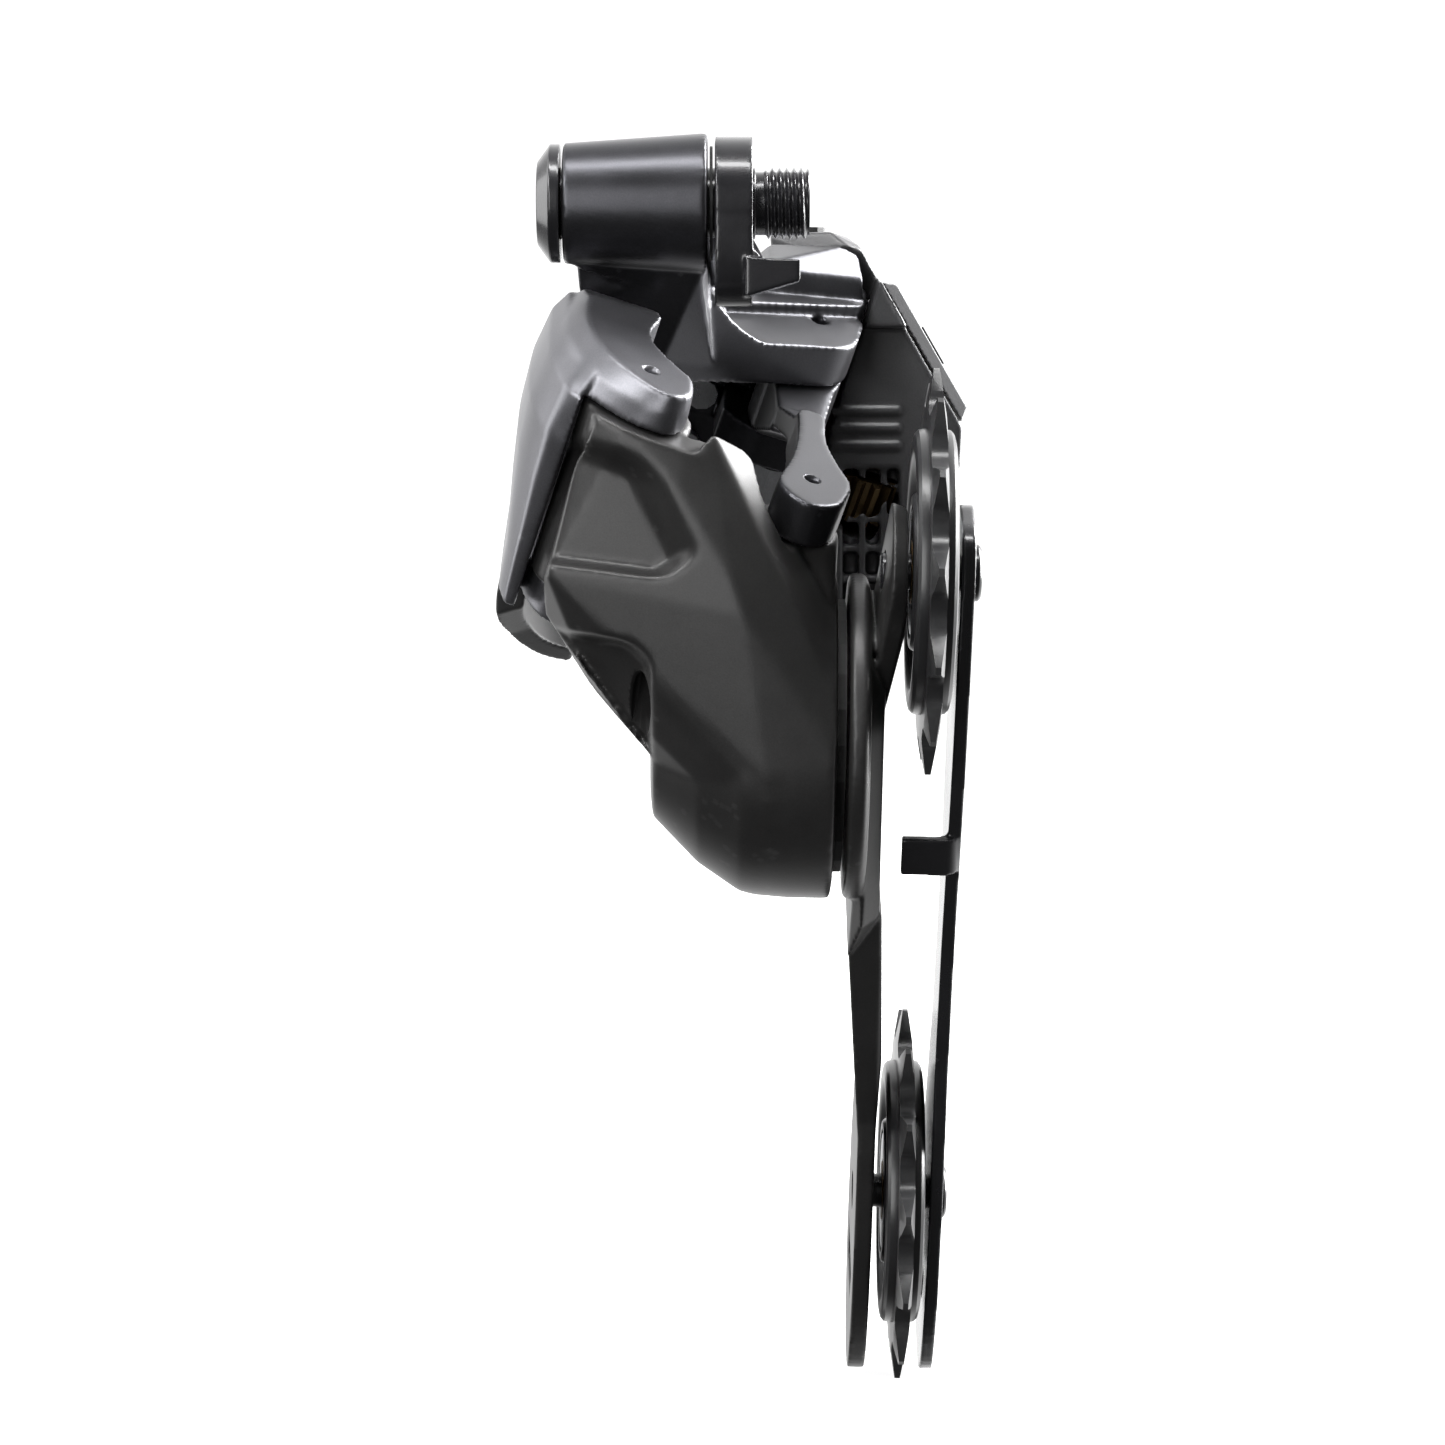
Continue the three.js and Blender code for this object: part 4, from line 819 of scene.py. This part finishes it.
def make_knuckle():
    drum = turned([
        (-14, 0), (-14, 8), (-13.6, 11.6), (-7.3, 17.9), (-1.4, 21.8), (0.8, 22.3), (5.3, DRUM_R),
        (11.2, DRUM_R), (11.2, 0),
    ], AXLE, FINE_FACETS)
    shield = hull([
        (-22, -25, -28.4), (-17, -27, -30.6), (-9.1, -27, -31.2), (-5.3, -26.6, -31.8), (-1.1, -22, -34),
        (-27.6, -24.6, -50.7), (-28.4, -21, -52), (-28.4, -16, -56), (-22.8, -20, -63.3), (-22.3, -14, -66),
        (-13.6, -16, -76), (-13.6, -8, -76), (-10, -27.8, -38.9), (-2.5, -28.4, -51.9), (-1.3, -28.4, -56),
        (5.2, -26.2, -54.5), (6.4, -22, -50.4), (11, -12, -50.9), (-20, -8, -62), (4, -10, -44),
    ] + drum_ring(1.6, DRUM_R, [180, 190, 200, 210, 220, 150, 120, 90])
      + drum_ring(5.3, DRUM_R, range(90, 226, 6)) + drum_ring(11, DRUM_R, range(90, 206, 6)))
    lug_outer = rod(LUG_R, Z["knuckle_bottom"], Z["knuckle_top"], PINS["outer_front"], LINK)
    circle = around(36)
    lug_inner = hull([
        tuple(LINK @ Vector((LINK_SPREAD + 6 * math.cos(t), 6 * math.sin(t), z)))
        for t in circle for z in (Z["lug_top"], Z["lug_bottom"])
    ] + drum_ring(-1, 19, [90, 130]) + drum_ring(11, DRUM_R - 0.4, [70, 90, 130]))
    body = joined(drum, shield, lug_outer, lug_inner)
    swing = math.radians(24)
    front = PINS["outer_front"]
    inner = PINS["inner_front"]
    under = (Z["link_bottom"] - 0.4, Z["link_bottom_top"] + 0.35)
    # Room for the outer link, for its two ears and for the inner link's, as they swing
    cut(
        body,
        wedge(math.pi - swing * 2.2, math.pi * 1.14 + swing, 8, 45, Z["link_bottom"] - 0.5, 3, front),
        rod(12, Z["ear_bottom"] - 0.3, 8, front, LINK),
        rod(LUG_R, *under, front, LINK),
        wedge(-0.3, math.pi + 0.4, 0.5, 30, *under, front),
        rod(9.4, Z["inner_ear_bottom"] - 0.3, 6, inner, LINK),
        wedge(0.15 * math.pi, 0.85 * math.pi, 0.5, 30, Z["inner_ear_bottom"] - 0.3, 6, inner),
        rod_x(19.4, 2, 14, AXLE, FACETS),
        rod_x(10, -9, 3, AXLE, FACETS),
    )
    cast(body, voxel=0.4, ease=4)
    # The recess above runs out to the slot, and its foot is a ledge
    recess = [
        (-34, -31.4, 3), (-22, -31.6, 4), (-13, -35, 5), (-6.4, -48, 2.4), (-11.6, -51.4, 1.3),
        (-34, -48.6, 5),
    ]
    pushed_back(body, recess, depth=3.2, still=-14)
    # Below the plateau the front falls back, as far as the drum's flank
    flank = [(-30, -57.2, 1.6), (-15.8, -59.2, 2.4), (-13.4, -61.6, 1.3), (-13.4, -80, 4), (-30, -80, 3)]
    pushed_back(body, flank, depth=3.6)
    cast(body, voxel=0.4, ease=5)
    # An oval hollow beside the flank
    oval = hull(
        [(-15.9 + 2.3 * math.cos(t), -34, -69.2 + 7.2 * math.sin(t)) for t in circle]
        + [(-15.2 + 1.3 * math.cos(t), -15.5, -69.0 + 4.8 * math.sin(t)) for t in circle]
    )
    return cut(
        body,
        pin_bore("outer_front", 0),
        rod(BORE_R, Z["lug_bottom"] + 0.5, 0, inner, LINK),
        rod_x(5.9, -12.6, -8, AXLE),
        rod_x(3.6, -15, -8, AXLE),
        oval,
    )


piece("knuckle_casting", smooth(make_knuckle()), "knuckle", "cast_black_alloy", "knuckle_housing")

# ---------- servo and battery unit ----------
CASE_REAR = 62
CASE_FRONT = BRACKET_REAR + 0.3
GEAR_Z = (-37.4, -31.4)
SECTOR_R = 12
PINION_R = 4
PINION = (LINK_SPREAD + 15.6, LINK_LENGTH + 4.4)
MOTOR = {"r": 5, "z": (-53, -39.4)}
BUTTON = (9, 52)
LENS = (9, 57.4)


def make_servo_case():
    upper = hull([
        (3, 46, -2), (12, 44, -1.6), (4, 60, -1), (15, 60, -1.6), (17, 44, -4), (20.5, 38, -9),
        (24, 38, -19), (5, 45, -14), (19, 60, -7), (32, 44, -31), (32, CASE_REAR, -32), (5, CASE_REAR, -20),
        (20, 44, -8.6), (31.6, 44, -37), (31.6, CASE_REAR, -38),
    ])
    lower = hull([
        (10, 43, -20), (24, 43, -23), (10, 44, -60), (19, 43, -63), (24, 43, -60), (31.4, 45, -38),
        (31.6, CASE_REAR, -38), (27, CASE_REAR, -60), (10, CASE_REAR, -63), (8, CASE_REAR, -20),
    ])
    foot = hull([
        (-7, 51.5, -42), (-7, 51.5, -57), (12, 50, -36), (12, 50, -62), (-5, CASE_REAR, -38),
        (-5, CASE_REAR, -58), (12, CASE_REAR, -30), (12, CASE_REAR, -63),
    ])
    flange = block((9.5, 31), (CASE_FRONT, 74), (-41, -12), LINK)
    body = joined(upper, lower, foot, flange)
    cut(
        body,
        block((-30, 33), (30, CASE_FRONT), (-70, 12), LINK),
        block((-40, 60), (0, 43.6), (-80, -16)),
    )
    cut(body, block((-0.3, 20), (-30, 30), (-12.4, 40), BAY))
    # The front face is hollow inside a rim, and ribbed
    cut(body, hull([(x, y, z) for x in (14, 22.4) for y in (40, 47) for z in (-58, -37)]))
    ribs = [block((13, 23.5), (44.6, 47.5), (z, z + 1)) for z in (-54, -49.5, -45, -40.5)]
    ribs += [block((x, x + 1), (44.2, 47.5), (-59, -36)) for x in (16.4, 19.6)]
    ribs += [block((12, 22.5), (43.1, 44.4), (z, z + 0.9)) for z in (-34, -31.4, -28.8)]
    body = joined(body, *ribs)
    cast(body, voxel=0.36, ease=3)
    return cut(
        body,
        block((-10.8, 1), (-7.8, 8.2), (-10.9, 10.9), BAY),
        rod(SECTOR_R + 2, GEAR_Z[0] - 0.5, GEAR_Z[1] + 0.5, PINS["inner_rear"], LINK),
        rod(PINION_R + 1.4, GEAR_Z[0] - 0.5, GEAR_Z[1] + 1.2, PINION, LINK),
        rod(MOTOR["r"] + 0.3, MOTOR["z"][0] - 0.3, GEAR_Z[0], PINION, LINK),
        *[rod_x(1.8, 60, 73, along_y(CASE_SCREW_X, z, LINK)) for z in CASE_SCREWS],
        rod(2.9, -4.6, 10, BUTTON),
        rod(1.5, -4.3, 10, LENS),
    )


def make_battery_door():
    panel = hull([
        (0, -8.6, -12), (0, 8.8, -12), (0, 8.8, 12), (0, -8.6, 12),
        (1.8, -7.4, -10.6), (1.8, 7.8, -10.6), (1.8, 7.8, 10.6), (1.8, -7.4, 10.6),
    ], BAY)
    dish = hull(
        [(1.5, y, z) for y in (-0.2, 6) for z in (-8, 8)]
        + [(2.6, y, z) for y in (-1.2, 7) for z in (-9, 9)], BAY)
    cut(panel, block((1, 4), (-5.2, -1.8), (-4.4, 4.4), BAY), dish)
    grip = [block((1.4, 1.75), (0.8, 5), (z, z + 0.8), BAY) for z in (-5, -3, -1, 1, 3)]
    return cast(joined(panel, *grip), voxel=0.14, ease=3)


piece("servo_housing", smooth(make_servo_case()), "bracket", "case_resin", "servo_case")
piece("battery_cover", make_battery_door(), "battery_door", "case_resin", "battery_door")


# ---------- cage ----------
FOOT_END = -109.9
INNER_PLATE = (27.4, 29.3)
OUTER_PLATE = (16.6, 19.2)
FOOT = [
    (-12.5, -72, 6), (-13.5, -92, 10), (-8, FOOT_END + 3, 8), (4, FOOT_END, 8), (13, -98, 10),
    (13.5, -78, 8),
]


def foot_window(low, high):
    """The lightening window in a cage plate's foot."""
    corners = ((-5, -94), (5, -94), (7, -88.5), (-7, -88.5))
    return hull([(x, y, z) for x in (low, high) for y, z in corners], CAGE)


def pulley_bolt_bores(low, high):
    return [rod_x(2.9, low, high, CAGE @ Matrix.Translation((0, 0, at.z))) for at in (GUIDE, TENSION)]


def make_outer_plate():
    disc = turned([
        (12.9, 0), (12.9, DRUM_R - 0.6), (13.3, DRUM_R), (14.9, DRUM_R), (15.3, DRUM_R - 0.3),
        (15.8, DRUM_R - 1.4), (15.8, 0),
    ], CAGE, FINE_FACETS)
    hub = hull([
        (15.6, -12, 18), (15.6, 12, 18), (15.6, -15, -22), (15.6, 14, -26), (14, -12, -29), (14, 11, -30),
        (17.8, -10, 13), (17.8, 10, 13), (18.2, -12, -22), (18.2, 11, -26),
    ], CAGE)
    head = ((20.3, 8.6), (18.2, 9.4))
    arm = hull(
        [(x, r * math.cos(t), GUIDE.z + r * math.sin(t)) for x, r in head for t in around(64)]
        + [(15.4, -10, 9), (15.4, 10, 9), (17.8, -9, 9), (17.8, 9, 9)], CAGE)
    leg = hull([
        (14, -11.5, -27), (14, 10.5, -27), (18.6, -11.5, -22), (18.6, 10.5, -24),
        (16.6, -9.5, -62), (16.6, 8.5, -62), (19.6, -9.5, -48), (19.6, 8.5, -48), (19.2, -9.5, -62),
        (19.2, 8.5, -62),
    ], CAGE)
    foot = prism(rounded([(-9.5, -58)] + FOOT + [(8.5, -58)]), *OUTER_PLATE, CAGE @ UP_X)
    body = joined(disc, hub, arm, leg, foot)
    # A shallow channel runs down the outboard face of the leg, narrower at its bottom
    mouth = ((-4, -36), (4, -36), (3.4, -60), (-3.4, -60))
    channel = hull([(x, y * w, z) for x, w in ((15.9, 0.6), (12, 1.3)) for y, z in mouth], CAGE)
    cut(body, foot_window(10, 24), channel)
    cast(body, voxel=0.32, ease=5)
    return cut(body, rod_x(4.3, 12, 14.4, CAGE), *pulley_bolt_bores(12, 24))


def make_inner_plate():
    outline = rounded([
        (-8.5, 26, 5), (-6, 34.5, 4), (6, 34.5, 4), (9.5, 26, 5), (9, 6, 8), (5, -18, 8), (5, -44, 8),
        (9, -62, 6), *FOOT[::-1], (-8, -52, 6), (-7, -30, 6), (-9.5, 0, 8),
    ])
    plate = prism(outline, *INNER_PLATE, CAGE @ UP_X)
    cut(plate, foot_window(20, 34), *pulley_bolt_bores(20, 34))
    # The chain keeper is bent from the plate's front edge
    low, high = INNER_PLATE
    bent = rounded([(high, -4), (low, -4), (low, -8.4, 1.6), (21, -8.4), (21, -9.8), (high, -9.8, 3.6)])
    keeper = prism(bent, -16.6, -10.8, CAGE)
    return cast(joined(plate, keeper), voxel=0.27, ease=3)


# A tip's points are (share of a tooth's turn, radius)
TEETH = 13
CHAIN_PITCH = 12.7
PITCH_R = CHAIN_PITCH / 2 / math.sin(math.pi / TEETH)
ROLLER_R = 3.95
TIP_R = 27.6
TIP_POINTS = ((0.43, TIP_R - 0.5), (0.46, TIP_R), (0.54, TIP_R), (0.57, TIP_R - 0.5))
HUB_R = 4.6


def tooth_outline():
    """Roller seats on the pitch circle, and the tips between them."""
    points = []
    for turn in around(TEETH):
        out = Vector((math.cos(turn), math.sin(turn)))
        side = Vector((-out.y, out.x))
        for degrees in range(-62, 63, 8):
            a = math.radians(degrees)
            points.append(tuple(out * (PITCH_R - ROLLER_R * math.cos(a)) + side * ROLLER_R * math.sin(a)))
        for share, r in TIP_POINTS:
            a = turn + share * 2 * math.pi / TEETH
            points.append((r * math.cos(a), r * math.sin(a)))
    return points


def make_pulley(centre):
    at = CAGE @ Matrix.Translation(centre)
    teeth = prism(tooth_outline(), -1.1, 1.1, at @ UP_X)
    taper = turned([
        (-1.6, 0), (-1.6, 21), (-1.1, 23.4), (-0.32, 28), (0.32, 28), (1.1, 23.4), (1.6, 21), (1.6, 0),
    ], at)
    combine(teeth, [taper], "INTERSECT")
    half = [
        (1.9, HUB_R), (1.9, 9.05), (2.7, 9.05), (2.8, 9.2), (2.8, 10.2), (2.6, 10.5), (1.5, 11.2),
        (1.5, 15.2), (2.4, 15.9), (2.7, 16.3), (2.8, 16.9), (2.8, 18.1), (2.62, 18.8), (2.2, 19.25),
        (1.6, 19.4),
    ]
    body = turned([(-x, r) for x, r in half] + [(x, r) for x, r in reversed(half)], at)
    holes = []
    for i in range(6):
        spin = at @ Matrix.Rotation(i * math.pi / 3, 4, "X")
        holes.append(rod_x(1.5, -3, 3, spin @ Matrix.Translation((0, 0, 13.2)), 32))
    whole = cut(joined(body, teeth), *holes, rod_x(HUB_R, -5, 5, at, FACETS))
    return smooth(whole, 28)


def make_cap(centre, low, high):
    """The thin ring on one side of a pulley's hub."""
    profile = [
        (low, HUB_R), (low, 8.4), (low + 0.1, 8.6), (high - 0.1, 8.6), (high, 8.4), (high, HUB_R),
    ]
    return smooth(turned(profile, CAGE @ Matrix.Translation(centre), 64), 30)


def make_bolt(centre):
    """A pulley's bolt: its head is on the inboard plate, and a key socket is at each end."""
    at = CAGE @ Matrix.Translation((0, 0, centre.z))
    low, high = INNER_PLATE[1] + 0.05, INNER_PLATE[1] + 1.2
    body = turned(eased([
        (16.8, 0), (16.8, 2.2), (17.1, 2.5), (low, 2.5), (low, 3.9), (high - 0.4, 3.9), (high, 3.4),
        (high, 0),
    ]), at, 64)
    return smooth(cut(body, rod_x(1.75, high - 1, high + 1, at, 6), rod_x(1.5, 16, 17.6, at, 6)), 30)


piece("outboard_plate", smooth(make_outer_plate()), "cage", "cast_black_alloy", "outer_cage_plate")
piece("inboard_plate", smooth(make_inner_plate()), "cage", "gloss_black_steel", "inner_cage_plate")
for which, centre in (("guide", GUIDE), ("tension", TENSION)):
    piece(f"{which}_wheel", make_pulley(centre), f"{which}_pulley", "pulley_resin", f"{which}_pulley")
    piece(
        f"{which}_screw", make_bolt(centre), "cage", "plain_steel", f"{which}_bolt",
        finish="gloss_black_steel")
    for side, low, high in (("outer", -2.7, -2.3), ("inner", 2.3, 2.7)):
        cap = make_cap(centre, low, high)
        piece(f"{which}_cover_{side}", cap, "cage", "plain_steel", f"{which}_cap_{side}")

# ---------- floor, camera and light ----------
LOOK_AT = Vector((-4.13, 0, -72.17)) * MM
CAMERA_AT = Vector((-4.13, -560.58, -32.97)) * MM


def make_stage():
    """A floor that curves up into a wall all round. Its measures are in metres."""
    lowest = cad_box[0].z - 0.0005
    flat, bend, top = 1.5, 0.8, 2.2
    profile = [(flat * share, 0) for share in (0, 0.1, 0.3, 0.6, 1)]
    for turn in around(64)[1:17]:
        profile.append((flat + bend * math.sin(turn), bend - bend * math.cos(turn)))
    profile.append((flat + bend, top))
    points, faces, facets = [], [], 64
    for r, z in profile:
        points += [(r * math.cos(turn), r * math.sin(turn), z + lowest) for turn in around(facets)]
    for start in range(0, facets * (len(profile) - 1), facets):
        for k in range(facets):
            n = (k + 1) % facets
            faces.append([start + k, start + n, start + facets + n, start + facets + k])
    mesh = bpy.data.meshes.new("floor")
    mesh.from_pydata(points, [], faces)
    floor = bpy.data.objects.new("floor", mesh)
    bpy.context.scene.collection.objects.link(floor)
    smooth(floor)
    paint = bpy.data.materials.new("pale_floor")
    paint.use_nodes = True
    shader = paint.node_tree.nodes["Principled BSDF"]
    shader.inputs["Base Color"].default_value = (0.4, 0.4, 0.4, 1)
    shader.inputs["Roughness"].default_value = 0.9
    shader.inputs["Emission Color"].default_value = (1, 1, 1, 1)
    shader.inputs["Emission Strength"].default_value = 0.85
    mesh.materials.append(paint)
    floor.visible_glossy = False
    floor.visible_diffuse = False
    floor.visible_shadow = False


def make_camera():
    data = bpy.data.cameras.new("camera")
    data.lens = 100
    data.sensor_width = 36
    data.clip_start = 0.01
    camera = bpy.data.objects.new("camera", data)
    camera.location = CAMERA_AT
    camera.rotation_euler = (LOOK_AT - CAMERA_AT).to_track_quat("-Z", "Y").to_euler()
    bpy.context.scene.collection.objects.link(camera)
    bpy.context.scene.camera = camera


def make_light(name, at, size, power):
    data = bpy.data.lights.new(name, "AREA")
    data.shape = "RECTANGLE"
    data.size, data.size_y = size
    data.energy = power
    light = bpy.data.objects.new(name, data)
    light.location = at
    light.rotation_euler = (LOOK_AT - Vector(at)).to_track_quat("-Z", "Y").to_euler()
    bpy.context.scene.collection.objects.link(light)


LIT_SIDE = (0.5, 0.85, 0.15)


def make_world():
    world = bpy.data.worlds.new("studio")
    world.use_nodes = True
    bpy.context.scene.world = world
    nodes, wires = world.node_tree.nodes, world.node_tree.links
    ground = nodes["Background"]
    place = nodes.new("ShaderNodeTexCoord")
    toward = nodes.new("ShaderNodeVectorMath")
    toward.operation = "DOT_PRODUCT"
    toward.inputs[1].default_value = LIT_SIDE
    wires.new(place.outputs["Generated"], toward.inputs[0])
    # Bright towards the rear and the right, dim towards the front, as in a studio with a lit background
    level = nodes.new("ShaderNodeMapRange")
    level.inputs["From Min"].default_value = -0.1
    level.inputs["From Max"].default_value = 0.75
    level.inputs["To Min"].default_value = 0.1
    level.inputs["To Max"].default_value = 1.8
    wires.new(toward.outputs["Value"], level.inputs["Value"])
    wires.new(level.outputs["Result"], ground.inputs["Strength"])
    ground.inputs["Color"].default_value = (1, 1, 1, 1)


make_stage()
make_camera()
make_light("left_rim", at=(-0.95, 0.3, 0.3), size=(0.5, 1.2), power=9)
make_light("right_rim", at=(0.9, 0.45, 0.4), size=(0.6, 1.3), power=85)
make_light("overhead", at=(-0.15, -0.34, 1.0), size=(0.9, 0.16), power=13)
make_light("key", at=(-0.75, -0.55, 0.6), size=(0.4, 0.4), power=9)
make_light("front_fill", at=(-0.5, -1.2, 0.1), size=(0.5, 0.9), power=9)
make_world()
bpy.context.scene.view_settings.view_transform = "Standard"
